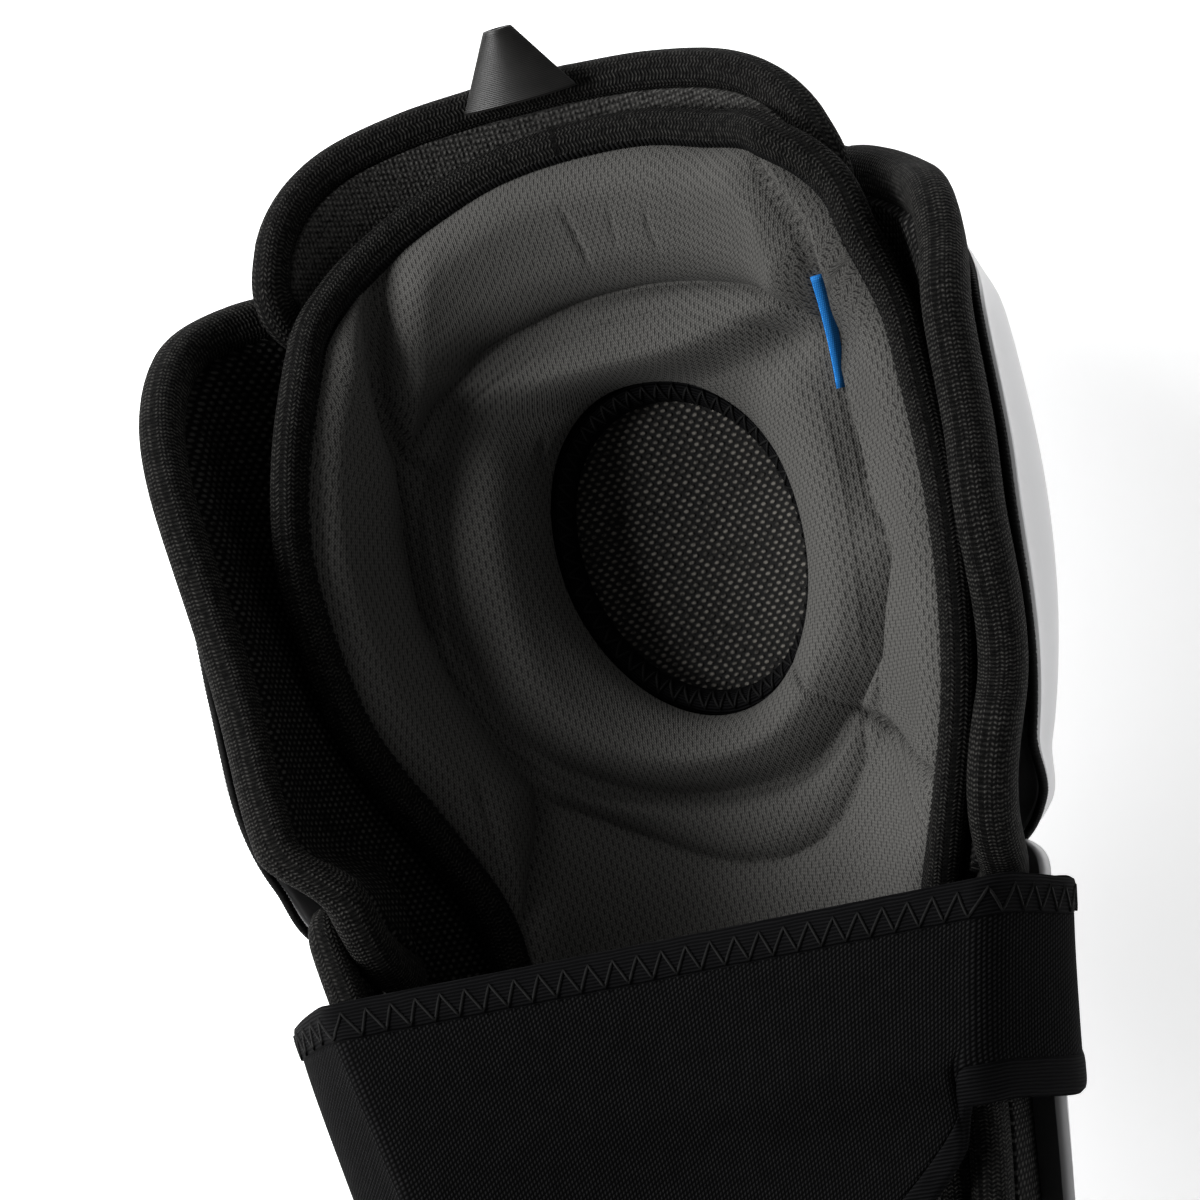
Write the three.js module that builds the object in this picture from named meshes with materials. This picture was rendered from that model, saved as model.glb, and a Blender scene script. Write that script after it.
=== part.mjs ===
// Hockey shin pad for the right leg, lying on its front with the hollow for the leg facing up.
// Millimetres. X runs across the leg, +Y towards the thigh and +Z from the shin towards the calf.
// Places on the pad are given as across, along and out: the way round the leg from the middle line,
// the distance from the middle of the knee towards the thigh, and the depth away from the leg.

import * as THREE from "three";

// Layers, as depths away from the leg side of the foam cradle
const CRADLE_FAR = 9;
const SHELL_NEAR = 10.6;
const SHELL_FAR = 13.4;
const PATCH_NEAR = 13.9;
const PATCH_FAR = 15.3;
const LINER_GAP = 1.6;
const THIGH_NEAR = -11;
const THIGH_FAR = -2.5;
const THIGH_ROOM = 14.4;
const THIGH_ROOM_START = { middle: 42, left: 22, right: 34 };
const THIGH_ROOM_END = { middle: 57, left: 57, right: 64 };
const THIGH_ROOM_SIDE = { from: 60, to: 100 };
const THIGH_ROOM_EASE = 0.65;
const THIGH_ROOM_EASE_ACROSS = { from: 80, to: 106 };
const KNEE_LIP_LIFT = 4;
const KNEE_LIP_START = -66;
const KNEE_LIP_END = -80;
const SHELL_FLARE = 4.5;
const SHELL_FLARE_ACROSS = { from: 56, to: 116 };
const THIGH_SHIFT = -9;

// The left wing's lower tip leans in over the top corner of the shin cradle, which dips right of there.
// Below the knee the right side reaches less far round the leg.
const TIP_LEAN = 10.2;
const TIP_LEAN_ALONG = { from: -60, to: -80 };
const TIP_LEAN_ACROSS = { from: -100, to: -116 };
const SHIN_DIP = 36;
const SHIN_DIP_ALONG = { from: -160, to: -86 };
const SHIN_DIP_ACROSS = { from: -112, to: -126 };
const RIGHT_DROP = 0.13;
const RIGHT_DROP_ALONG = { from: -10, to: -60 };
const RIGHT_RETURN_ALONG = { from: -150, to: -260 };

// Rolled and stitched edges
const ROLL_GAP = 0.5;
const WING_ROLL_RADIUS = 5;
const CALF_ROLL_RADIUS = 4.6;
const LINER_ROLL_RADIUS = 4.6;
const LINER_ROLL_SINK = 0.5;
const THIGH_ROLL_RADIUS = 4.6;
const ROLL_SIDES = 8;
const FINE_EDGE_ROWS = 36;

// Leg side of the foam cradle at each section: sideways place of its middle line, half width, depth
// of the hollow and height of its front
const LEG_SECTIONS = [
  { along: -350, middle: -7, halfWidth: 46, depth: 42, front: 18 },
  { along: -310, middle: -6, halfWidth: 50, depth: 46, front: 13.5 },
  { along: -200, middle: -3, halfWidth: 60, depth: 60, front: 13.5 },
  { along: -150, middle: -2, halfWidth: 66, depth: 68, front: 14.5 },
  { along: -100, middle: -1, halfWidth: 73.5, depth: 75, front: 19 },
  { along: -50, middle: 0, halfWidth: 86, depth: 82, front: 16 },
  { along: -10, middle: 0, halfWidth: 90, depth: 82, front: 13.5 },
  { along: 30, middle: 0, halfWidth: 90, depth: 82, front: 16 },
  { along: 60, middle: 0, halfWidth: 90, depth: 80, front: 25 },
  { along: 90, middle: 0, halfWidth: 87, depth: 72, front: 38 },
  { along: 135, middle: 0, halfWidth: 82, depth: 60, front: 58 },
];

// Edges of the padded sheets and shells: how far each row reaches to both sides of the middle line
const KNEE_CRADLE_EDGE = [
  { along: 73, half: 70 },
  { along: 69, half: 104 },
  { along: 57, half: 126 },
  { along: 30, half: 142 },
  { along: -10, half: 148 },
  { along: -45, half: 153 },
  { along: -68, half: 153 },
  { along: -84, half: 140 },
  { along: -94, half: 116 },
  { along: -100, half: 86 },
];
const SHIN_CRADLE_EDGE = [
  { along: -84, half: 126 },
  { along: -88, half: 131 },
  { along: -100, half: 133 },
  { along: -118, half: 133 },
  { along: -150, half: 128 },
  { along: -200, half: 116 },
  { along: -260, half: 98 },
  { along: -310, half: 80 },
  { along: -334, half: 64 },
  { along: -342, half: 42 },
];
const THIGH_GUARD_EDGE = [
  { along: 64, half: 72 },
  { along: 76, half: 90 },
  { along: 87, half: 88 },
  { along: 98, half: 76 },
  { along: 107, half: 58 },
  { along: 113, half: 34 },
  { along: 115.5, half: 11 },
];
const KNEE_SHELL_EDGE = [
  { along: 88, half: 20 },
  { along: 83, half: 54 },
  { along: 69, half: 88 },
  { along: 46, half: 112 },
  { along: 10, half: 124 },
  { along: -30, half: 124 },
  { along: -64, half: 112 },
  { along: -86, half: 86 },
  { along: -94, half: 58 },
];
const SHIN_SHELL_EDGE = [
  { along: -84, half: 40 },
  { along: -88, half: 84 },
  { along: -98, half: 112 },
  { along: -116, half: 118 },
  { along: -150, half: 112 },
  { along: -220, half: 88 },
  { along: -290, half: 68 },
  { along: -332, half: 52 },
  { along: -346, half: 28 },
];

// Flat rests on the front of the shells, as a share of each row's reach and a stretch along the leg
const REST_SHARE = 0.18;
const KNEE_REST = { from: -36, to: 22 };
const SHIN_REST = { from: -318, to: -160 };
const PAD_COLUMNS = [-1, -0.88, -0.74, -0.6, -0.45, -0.3, -0.15, 0, 0.15, 0.3, 0.45, 0.6, 0.74, 0.88, 1];
const SHELL_COLUMNS = [-1, -0.88, -0.7, -0.5, -0.32, -0.18, 0, 0.18, 0.32, 0.5, 0.7, 0.88, 1];

// Outline of the liner, and of the raised middle inside its folds, to the left and right from the top down
const LINER_OUTLINE = [
  { along: 105, left: 0, right: 0 },
  { along: 103, left: 22, right: 27 },
  { along: 97, left: 43, right: 50 },
  { along: 88, left: 66, right: 79 },
  { along: 76, left: 90, right: 93 },
  { along: 62, left: 110, right: 101 },
  { along: 38, left: 125, right: 105 },
  { along: 5, left: 123, right: 108 },
  { along: -30, left: 112, right: 108 },
  { along: -64, left: 85, right: 102 },
  { along: -86, left: 71, right: 90 },
  { along: -106, left: 67, right: 72 },
  { along: -150, left: 58, right: 58 },
  { along: -210, left: 50, right: 50 },
  { along: -270, left: 44, right: 44 },
  { along: -318, left: 38, right: 38 },
  { along: -335, left: 24, right: 24 },
  { along: -340, left: 0, right: 0 },
];
const LINER_MIDDLE = [
  { along: 72, left: 0, right: 0 },
  { along: 70, left: 26, right: 34 },
  { along: 62, left: 51, right: 58 },
  { along: 50, left: 69, right: 73 },
  { along: 34, left: 80, right: 77 },
  { along: 8, left: 81, right: 77 },
  { along: -18, left: 78, right: 80 },
  { along: -40, left: 68, right: 69 },
  { along: -62, left: 51, right: 57 },
  { along: -75, left: 26, right: 44 },
  { along: -85, left: 0, right: 0 },
];
const KNEE_RING = { across: -1, along: -0.5, halfAcross: 74, halfAlong: 65, lean: 0, square: 2.5 };
const KNEE_HOLE = { across: 1.5, along: 0, halfAcross: 39, halfAlong: 47.5, lean: 0.33, square: 2 };

// Padding of the liner outwards from the knee hole. A way of 0 to 1 crosses the ring, 1 to 2 the step
// round it and 2 to 3 the outer panels. The crown column is for the wall above the knee.
const LINER_PROFILE = [
  { way: 0, padding: 8, crown: 8 },
  { way: 0.1, padding: 13.5, crown: 11 },
  { way: 0.35, padding: 19, crown: 14.5 },
  { way: 0.62, padding: 20, crown: 14.5 },
  { way: 0.85, padding: 16, crown: 11.5 },
  { way: 1, padding: 9.5, crown: 9.5 },
  { way: 1.35, padding: 11.5, crown: 10 },
  { way: 1.7, padding: 11.5, crown: 9.5 },
  { way: 2, padding: 7.5, crown: 8.5 },
  { way: 2.12, padding: 11, crown: 14.5 },
  { way: 2.4, padding: 13, crown: 16 },
  { way: 2.75, padding: 11.5, crown: 12 },
  { way: 3, padding: 7.5, crown: 7.5 },
];
const LINER_BACK_WAYS = [3, 2.5, 2.1, 2, 1.3, 0.6, 0];
const LINER_SPOKES = 60;
const CROWN_START = 0.45;
const CROWN_END = 0.85;

// Stitched band round the knee hole, as distances in from the hole's edge and heights over the cradle
const HOLE_BAND = [
  { inward: 0.4, height: 1.7 },
  { inward: 0.4, height: 8.5 },
  { inward: 3, height: 10 },
  { inward: 6.5, height: 7.5 },
  { inward: 7.5, height: 3.5 },
  { inward: 6.5, height: 1.7 },
];

// Calf strap, whose lower edge rises towards the right end
const STRAP_TOP = -110;
const STRAP_BOTTOM = -194;
const STRAP_BOTTOM_RIGHT = -140;
const STRAP_RISE = { from: 0.4, to: 0.505 };
const STRAP_THICKNESS = 2;
const STRAP_LIFT = 0.5;
const STRAP_OUT = 16.3;
const STRAP_CLEAR = 0.9;
const STRAP_SAG = 5;
const STRAP_END_RIGHT = 60;
const STRAP_END_LEFT = -66;
const STRAP_SIDE_SHARES = [0, 0.3, 0.6, 0.78];
const STRAP_RIM_TURNS = [35, 70, 105];
const STRAP_RIM_TOP = { left: -100, right: -136 };
const STRAP_EDGE_WIDTH = 9.5;
const STRAP_EDGE_THICKNESS = 3;
const STRAP_EDGE_GAP = 0.9;
const STRAP_STEPS = 42;

// Small pieces
const PATCH_ALONG = { from: -98, to: -186 };
const PATCH_ACROSS = { from: -68, to: -100 };
const PATCH_SHARES = [0, 0.25, 0.5, 0.75, 1];
const TAG = { fromAcross: 76, toAcross: 91, from: 28, to: 53, height: 3, thickness: 0.9, lift: 1.2 };
const TAB = { across: -9, along: 120, height: 19, baseHalf: 15.5, topHalf: 3.8, out: -15.5 };
const TAB_BASE_DEPTH = 3.4;
const TAB_TOP_DEPTH = 1.8;
const TAB_WALL = 0.8;
const TAB_SPOKES = 20;

// How finely the pieces are divided
const ROWS = { knee: 19, shin: 17, thigh: 10, shell: 14 };
const STEPS = { wing: 26, calf: 20, thigh: 18, holeBand: 36, ellipse: 96, outline: 240 };

const MATERIALS = {
  plastic: { color: 0xe9e9e6, roughness: 0.4 },
  mesh: { color: 0x18181b, roughness: 0.9 },
  knit: { color: 0x1c1c20, roughness: 0.95 },
  grey: { color: 0x8d9093, roughness: 0.95 },
  elastic: { color: 0x151517, roughness: 0.85 },
  stretch: { color: 0x1a1a1c, roughness: 0.8 },
  satin: { color: 0x121214, roughness: 0.4 },
  blue: { color: 0x1f78c8, roughness: 0.6 },
  loop: { color: 0xf0efec, roughness: 1 },
};

const sectionCurve = new THREE.CubicInterpolant(
  LEG_SECTIONS.map((row) => row.along),
  LEG_SECTIONS.flatMap((row) => [row.middle, row.halfWidth, row.depth, row.front]),
  4,
);

// Point on the leg side of the cradle
function legFace(across, along) {
  const [middle, halfWidth, depth, front] = sectionCurve.evaluate(along);
  const turn = across / halfWidth;
  return new THREE.Vector3(middle + halfWidth * Math.sin(turn), along, front + depth * (1 - Math.cos(turn)));
}

// Direction away from the leg
function outward(across, along) {
  const acrossTangent = legFace(across + 0.5, along).sub(legFace(across - 0.5, along));
  const alongTangent = legFace(across, along + 0.5).sub(legFace(across, along - 0.5));
  return alongTangent.cross(acrossTangent).normalize();
}

function layerPoint(across, along, out) {
  return legFace(across, along).addScaledVector(outward(across, along), out);
}

// Solid through a run of closed loops with the same number of points. Open runs are capped.
function loft(loops, closed) {
  const count = loops[0].length;
  const index = [];
  const quad = (a, b, c, d) => index.push(a, b, c, a, c, d);
  const joints = closed ? loops.length : loops.length - 1;
  for (let row = 0; row < joints; row += 1) {
    const here = row * count;
    const next = ((row + 1) % loops.length) * count;
    for (let k = 0; k < count; k += 1) {
      const beside = (k + 1) % count;
      quad(here + k, here + beside, next + beside, next + k);
    }
  }
  if (!closed) {
    const last = (loops.length - 1) * count;
    for (let k = 0; k + 1 < count - 1 - k; k += 1) {
      quad(k, count - 1 - k, count - 2 - k, k + 1);
      quad(last + k, last + k + 1, last + count - 2 - k, last + count - 1 - k);
    }
  }
  const points = loops.flat();
  const geometry = new THREE.BufferGeometry().setFromPoints(points);
  geometry.setIndex(signedVolume(points, index) < 0 ? index.reverse() : index);
  geometry.computeVertexNormals();
  return geometry;
}

function signedVolume(points, index) {
  let volume = 0;
  for (let k = 0; k < index.length; k += 3) {
    const [a, b, c] = [points[index[k]], points[index[k + 1]], points[index[k + 2]]];
    volume += a.dot(b.clone().cross(c)) / 6;
  }
  return volume;
}

function edgeCurve(table) {
  return new THREE.SplineCurve(table.map((row) => new THREE.Vector2(row.half, row.along)));
}

// Edge with more rows, each changed by a function
function fineEdge(table, change) {
  return edgeCurve(table)
    .getPoints(FINE_EDGE_ROWS)
    .map(({ x: half, y: along }) => change(half, along));
}

// Sheet with a row across the leg at each place along its edge. The place function gives each of its
// points: its share of the row, across and along, and whether it is on the far side.
function sheet(edge, rows, columns, place) {
  const loops = edgeCurve(edge)
    .getPoints(rows)
    .map(({ x: half, y: along }) => {
      const legSide = columns.map((share) => place(share, share * half, along, false));
      const farSide = columns.map((share) => place(share, share * half, along, true));
      return [...legSide, ...farSide.reverse()];
    });
  return loft(loops, false);
}

const ramp = (value, { from, to }) =>
  from < to ? THREE.MathUtils.smoothstep(value, from, to) : THREE.MathUtils.smoothstep(-value, -from, -to);

// How far the left wing's lower tip leans towards the leg
function tipLean(across, along) {
  return TIP_LEAN * ramp(along, TIP_LEAN_ALONG) * ramp(across, TIP_LEAN_ACROSS);
}

// How far the shin cradle's upper rows dip
function shinDip(across, along) {
  return SHIN_DIP * ramp(along, SHIN_DIP_ALONG) * (1 - ramp(across, SHIN_DIP_ACROSS));
}

// Place across the leg after the right side's shorter reach
function reached(across, along) {
  const drop = RIGHT_DROP * (ramp(along, RIGHT_DROP_ALONG) - ramp(along, RIGHT_RETURN_ALONG));
  return across > 0 ? across * (1 - drop) : across;
}

function kneeCradle() {
  return sheet(KNEE_CRADLE_EDGE, ROWS.knee, PAD_COLUMNS, (share, across, along, far) =>
    layerPoint(reached(across, along), along, (far ? CRADLE_FAR : 0) - tipLean(across, along)),
  );
}

function shinCradle() {
  return sheet(SHIN_CRADLE_EDGE, ROWS.shin, PAD_COLUMNS, (share, across, along, far) =>
    layerPoint(reached(across, along), along - shinDip(across, along), far ? CRADLE_FAR : 0),
  );
}

function thighGuard() {
  return sheet(THIGH_GUARD_EDGE, ROWS.thigh, SHELL_COLUMNS, (share, across, along, far) =>
    layerPoint(across + THIGH_SHIFT, along, far ? THIGH_FAR : THIGH_NEAR),
  );
}

// The shells stand further off the cradle towards their sides
function shellFlare(across) {
  return SHELL_FLARE * ramp(Math.abs(across), SHELL_FLARE_ACROSS);
}

// Shell with a flat rest on its front and a lip lifted over its neighbour
function shell(edge, rest, lip) {
  return sheet(edge, ROWS.shell, SHELL_COLUMNS, (share, across, along, far) => {
    const depth = (far ? SHELL_FAR : SHELL_NEAR) + lip(along) + shellFlare(across);
    const point = layerPoint(reached(across, along), along, depth);
    const resting = far && Math.abs(share) <= REST_SHARE && along >= rest.from && along <= rest.to;
    return resting ? point.setZ(0) : point;
  });
}

// Round tube along places on the pad, each with its across, along and out
function roll(places, radius, closed) {
  const centres = places.map(({ across, along, out }) => layerPoint(across, along, out));
  const loops = centres.map((centre, k) => {
    const before = closed ? centres.at(k - 1) : centres[Math.max(k - 1, 0)];
    const after = closed ? centres[(k + 1) % centres.length] : centres[Math.min(k + 1, centres.length - 1)];
    const ahead = after.clone().sub(before).normalize();
    const aside = ahead.clone().cross(outward(places[k].across, places[k].along)).normalize();
    const up = aside.clone().cross(ahead);
    return Array.from({ length: ROLL_SIDES }, (_, side) => {
      const turn = ((side + 0.5) / ROLL_SIDES) * 2 * Math.PI;
      return centre
        .clone()
        .addScaledVector(aside, radius * Math.cos(turn))
        .addScaledVector(up, radius * Math.sin(turn));
    });
  });
  return loft(loops, closed);
}

// Places beside a sheet's right or left edge, pushed outwards by the roll's radius
function besideEdge(edge, side, steps, radius, out) {
  const curve = edgeCurve(edge);
  const flip = edge[0].along > edge.at(-1).along ? 1 : -1;
  return Array.from({ length: steps + 1 }, (_, k) => {
    const point = curve.getPoint(k / steps);
    const ahead = curve.getTangent(k / steps);
    const away = new THREE.Vector2(-ahead.y * flip * side, ahead.x * flip);
    return pushedOut(new THREE.Vector2(point.x * side, point.y), away, radius, out);
  });
}

// Place whose distance from an edge point, measured on the pad, is the roll's radius and gap
function pushedOut(edge, away, radius, out) {
  const depth = out(edge.x, edge.y);
  const reach = radius + ROLL_GAP;
  const trial = layerPoint(edge.x + away.x, edge.y + away.y, depth);
  const stretch = trial.distanceTo(layerPoint(edge.x, edge.y, depth));
  const across = edge.x + (away.x * reach) / stretch;
  const along = edge.y + (away.y * reach) / stretch;
  return { across, along, out: out(across, along) };
}

// Closed curve down the right side of an outline and up its left side
function closedOutline(table) {
  const right = table.map((row) => new THREE.Vector3(row.right, row.along, 0));
  const left = table.slice(1, -1).map((row) => new THREE.Vector3(-row.left, row.along, 0));
  return new THREE.CatmullRomCurve3([...right, ...left.reverse()], true);
}

// Ellipse, with fuller corners where its square is over 2
function ellipsePoints({ across, along, halfAcross, halfAlong, lean, square }, steps) {
  const fuller = (value) => Math.sign(value) * Math.abs(value) ** (2 / square);
  return Array.from({ length: steps }, (_, k) => {
    const turn = (k / steps) * 2 * Math.PI;
    const point = new THREE.Vector3(halfAcross * fuller(Math.cos(turn)), halfAlong * fuller(Math.sin(turn)), 0);
    point.applyAxisAngle(new THREE.Vector3(0, 0, 1), lean);
    return point.add(new THREE.Vector3(across, along, 0));
  });
}

// Distance from the knee's middle to a closed curve in one direction
function reachTo(curve, direction) {
  const aside = (point) => direction.x * point.y - direction.y * point.x;
  const crossings = curve.map((start, k) => {
    const end = curve[(k + 1) % curve.length];
    const [before, after] = [aside(start), aside(end)];
    const crosses = before >= 0 !== after >= 0;
    return crosses ? start.clone().lerp(end, before / (before - after)).dot(direction) : 0;
  });
  return Math.max(...crossings);
}

const holeCurve = ellipsePoints(KNEE_HOLE, STEPS.ellipse);
const ringCurve = ellipsePoints(KNEE_RING, STEPS.ellipse);
const middleCurve = closedOutline(LINER_MIDDLE).getPoints(STEPS.outline).slice(0, -1);
const outlineCurve = closedOutline(LINER_OUTLINE).getPoints(STEPS.outline).slice(0, -1);
const linerProfile = new THREE.LinearInterpolant(
  LINER_PROFILE.map((row) => row.way),
  LINER_PROFILE.flatMap((row) => [row.padding, row.crown]),
  2,
);

// The liner stands off the cradle where the thigh guard runs behind it, less so past its right end
function linerBack(across, along) {
  const side = across > 0 ? "right" : "left";
  const aside = ramp(Math.abs(across), THIGH_ROOM_SIDE);
  const [start, end] = [THIGH_ROOM_START, THIGH_ROOM_END].map((place) =>
    THREE.MathUtils.lerp(place.middle, place[side], aside),
  );
  const ease = 1 - THIGH_ROOM_EASE * ramp(across, THIGH_ROOM_EASE_ACROSS);
  return LINER_GAP + (THIGH_ROOM - LINER_GAP) * THREE.MathUtils.smoothstep(along, start, end) * ease;
}

function linerReaches(direction) {
  return [holeCurve, ringCurve, middleCurve, outlineCurve].map((curve) => reachTo(curve, direction));
}

function linerPadding(way, direction) {
  const [padding, crown] = linerProfile.evaluate(way);
  const share = THREE.MathUtils.smoothstep(direction.y, CROWN_START, CROWN_END);
  return THREE.MathUtils.lerp(padding, crown, share);
}

function linerPoint(way, direction, reaches, front) {
  const zone = Math.min(Math.floor(way), 2);
  const distance = THREE.MathUtils.lerp(reaches[zone], reaches[zone + 1], way - zone);
  const across = direction.x * distance;
  const along = direction.y * distance;
  return layerPoint(across, along, -linerBack(across, along) - (front ? linerPadding(way, direction) : 0));
}

function liner() {
  const rim = closedOutline(LINER_OUTLINE).getPoints(LINER_SPOKES).slice(0, -1);
  const loops = rim.map((edge) => {
    const direction = edge.clone().normalize();
    const reaches = linerReaches(direction);
    const front = LINER_PROFILE.map(({ way }) => linerPoint(way, direction, reaches, true));
    const back = LINER_BACK_WAYS.map((way) => linerPoint(way, direction, reaches, false));
    return [...front, ...back];
  });
  return loft(loops, true);
}

function linerRoll() {
  const curve = closedOutline(LINER_OUTLINE);
  const middle = (across, along) => LINER_ROLL_SINK - linerBack(across, along) - LINER_ROLL_RADIUS;
  const places = Array.from({ length: LINER_SPOKES }, (_, k) => {
    const { x, y } = curve.getTangent(k / LINER_SPOKES);
    const away = new THREE.Vector2(-y, x);
    return pushedOut(curve.getPoint(k / LINER_SPOKES), away, LINER_ROLL_RADIUS, middle);
  });
  return roll(places, LINER_ROLL_RADIUS, true);
}

function holeBand() {
  const loops = ellipsePoints(KNEE_HOLE, STEPS.holeBand).map((edge) => {
    const direction = edge.clone().normalize();
    return HOLE_BAND.map(({ inward, height }) => {
      const place = edge.clone().addScaledVector(direction, -inward);
      return layerPoint(place.x, place.y, -height);
    });
  });
  return loft(loops, true);
}

// How far a calf binding reaches round the leg under the strap, level with its own top above there
function calfReach({ places, top }, along) {
  const level = Math.min(along, top);
  const next = places.findIndex((place, k) => k > 0 && place.along <= level);
  const [upper, lower] = [places[next - 1], places[next]];
  return THREE.MathUtils.mapLinear(level, upper.along, lower.along, upper.across, lower.across);
}

// Leg side of the strap at one place along the leg, from the right end to the left end
function strapPath(along) {
  const side = (binding, end) => {
    const rim = calfReach(binding, along);
    const centre = layerPoint(rim, along, CRADLE_FAR / 2);
    const clear = CALF_ROLL_RADIUS + STRAP_CLEAR;
    const around = (degrees) => {
      const turn = THREE.MathUtils.degToRad(degrees);
      const aside = Math.sign(rim) * Math.cos(turn);
      return centre.clone().add(new THREE.Vector3(aside, 0, Math.sin(turn)).multiplyScalar(clear));
    };
    const outside = STRAP_SIDE_SHARES.map((share) => {
      const across = THREE.MathUtils.lerp(end, rim, share);
      return layerPoint(across, along, STRAP_OUT + shellFlare(across));
    });
    return [...outside, ...STRAP_RIM_TURNS.map(around)];
  };
  const right = side({ places: calfRollRight, top: STRAP_RIM_TOP.right }, STRAP_END_RIGHT);
  const left = side({ places: calfRollLeft, top: STRAP_RIM_TOP.left }, STRAP_END_LEFT);
  const middle = right.at(-1).clone().lerp(left.at(-1), 0.5).add(new THREE.Vector3(0, 0, -STRAP_SAG));
  return new THREE.CatmullRomCurve3([...right, middle, ...left.reverse()], false, "centripetal");
}

// Band along the strap between two distances down from its upper edge, as shares of its width there
function strapBand(shares, shift, lift, thickness) {
  const loops = Array.from({ length: STRAP_STEPS + 1 }, (_, k) => {
    const way = k / STRAP_STEPS;
    const bottom = THREE.MathUtils.lerp(STRAP_BOTTOM_RIGHT, STRAP_BOTTOM, ramp(way, STRAP_RISE));
    const sides = shares.map((share, column) => {
      const path = strapPath(THREE.MathUtils.lerp(STRAP_TOP, bottom, share) + shift[column]);
      const ahead = path.getTangent(way);
      const away = new THREE.Vector3(ahead.z, 0, -ahead.x).normalize();
      const point = path.getPoint(way);
      return [lift, lift + thickness].map((depth) => point.clone().addScaledVector(away, depth));
    });
    return [...sides.map(([near]) => near), ...sides.map(([, far]) => far).reverse()];
  });
  return loft(loops, false);
}

function strapCloth() {
  const shares = [0, 0.33, 0.67, 1];
  return strapBand(shares, shares.map(() => 0), STRAP_LIFT, STRAP_THICKNESS);
}

// Band beside the strap's upper edge, at a share of 0, or its lower edge, at 1
function strapEdge(share, width) {
  const gap = Math.sign(width) * STRAP_EDGE_GAP;
  return strapBand([share, share], [gap + width, gap].sort((a, b) => b - a), 0, STRAP_EDGE_THICKNESS);
}

function patch() {
  const loops = PATCH_SHARES.map((row) => {
    const along = THREE.MathUtils.lerp(PATCH_ALONG.from, PATCH_ALONG.to, row);
    const { from, to } = PATCH_ACROSS;
    const acrosses = PATCH_SHARES.map((share) => THREE.MathUtils.lerp(from, to, share));
    const near = acrosses.map((across) => layerPoint(across, along, PATCH_NEAR + shellFlare(across)));
    const far = acrosses.map((across) => layerPoint(across, along, PATCH_FAR + shellFlare(across)));
    return [...near, ...far.reverse()];
  });
  return loft(loops, false);
}

// Leg side of the liner at a place on the pad
function linerFront(across, along) {
  const direction = new THREE.Vector3(across, along, 0).normalize();
  const reaches = linerReaches(direction);
  const distance = Math.hypot(across, along);
  const zone = Math.min(Math.max(reaches.findLastIndex((reach) => reach <= distance), 0), 2);
  const way = zone + (distance - reaches[zone]) / (reaches[zone + 1] - reaches[zone]);
  return linerBack(across, along) + linerPadding(way, direction);
}

function sideTag() {
  const loops = [0, 0.33, 0.67, 1].map((share) => {
    const along = THREE.MathUtils.lerp(TAG.from, TAG.to, share);
    const across = THREE.MathUtils.lerp(TAG.fromAcross, TAG.toAcross, share);
    const bottom = linerFront(across, along) + TAG.lift;
    return [
      layerPoint(across, along, -bottom),
      layerPoint(across + TAG.thickness, along, -bottom),
      layerPoint(across + TAG.thickness, along, -bottom - TAG.height),
      layerPoint(across, along, -bottom - TAG.height),
    ];
  });
  return loft(loops, false);
}

// Ribbon loop, wide at its sewn foot and narrow at its top, open through its middle
function pullTab() {
  const foot = layerPoint(TAB.across, TAB.along, TAB.out);
  const towards = outward(TAB.across, TAB.along).negate();
  const acrossAxis = new THREE.Vector3(1, 0, 0);
  const alongAxis = towards.clone().cross(acrossAxis).normalize();
  const loops = Array.from({ length: TAB_SPOKES }, (_, k) => {
    const turn = (k / TAB_SPOKES) * 2 * Math.PI;
    const corner = (half, depth, height) =>
      foot
        .clone()
        .addScaledVector(acrossAxis, half * Math.cos(turn))
        .addScaledVector(towards, depth * Math.sin(turn))
        .addScaledVector(alongAxis, height);
    return [
      corner(TAB.baseHalf, TAB_BASE_DEPTH, 0),
      corner(TAB.topHalf, TAB_TOP_DEPTH, TAB.height),
      corner(TAB.topHalf - TAB_WALL, TAB_TOP_DEPTH - TAB_WALL, TAB.height),
      corner(TAB.baseHalf - TAB_WALL, TAB_BASE_DEPTH - TAB_WALL, 0),
    ];
  });
  return loft(loops, true);
}

const kneeLip = (along) => KNEE_LIP_LIFT * ramp(along, { from: KNEE_LIP_START, to: KNEE_LIP_END });
const noLip = () => 0;
const cradleMiddle = (across, along) => CRADLE_FAR / 2 - tipLean(across, along);
const guardMiddle = () => (THIGH_NEAR + THIGH_FAR) / 2;
const rightWing = fineEdge(KNEE_CRADLE_EDGE, (half, along) => ({ along, half: reached(half, along) }));
const rightCalf = fineEdge(SHIN_CRADLE_EDGE, (half, along) => ({
  along: along - shinDip(half, along),
  half: reached(half, along),
}));
const wingRollRight = besideEdge(rightWing, 1, STEPS.wing, WING_ROLL_RADIUS, cradleMiddle);
const wingRollLeft = besideEdge(KNEE_CRADLE_EDGE, -1, STEPS.wing, WING_ROLL_RADIUS, cradleMiddle);
const calfRollRight = besideEdge(rightCalf, 1, STEPS.calf, CALF_ROLL_RADIUS, () => CRADLE_FAR / 2);
const calfRollLeft = besideEdge(SHIN_CRADLE_EDGE, -1, STEPS.calf, CALF_ROLL_RADIUS, () => CRADLE_FAR / 2);
const thighRoll = [
  ...besideEdge(THIGH_GUARD_EDGE, 1, STEPS.thigh, THIGH_ROLL_RADIUS, guardMiddle),
  ...besideEdge(THIGH_GUARD_EDGE, -1, STEPS.thigh, THIGH_ROLL_RADIUS, guardMiddle).reverse(),
].map((place) => ({ ...place, across: place.across + THIGH_SHIFT }));
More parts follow.
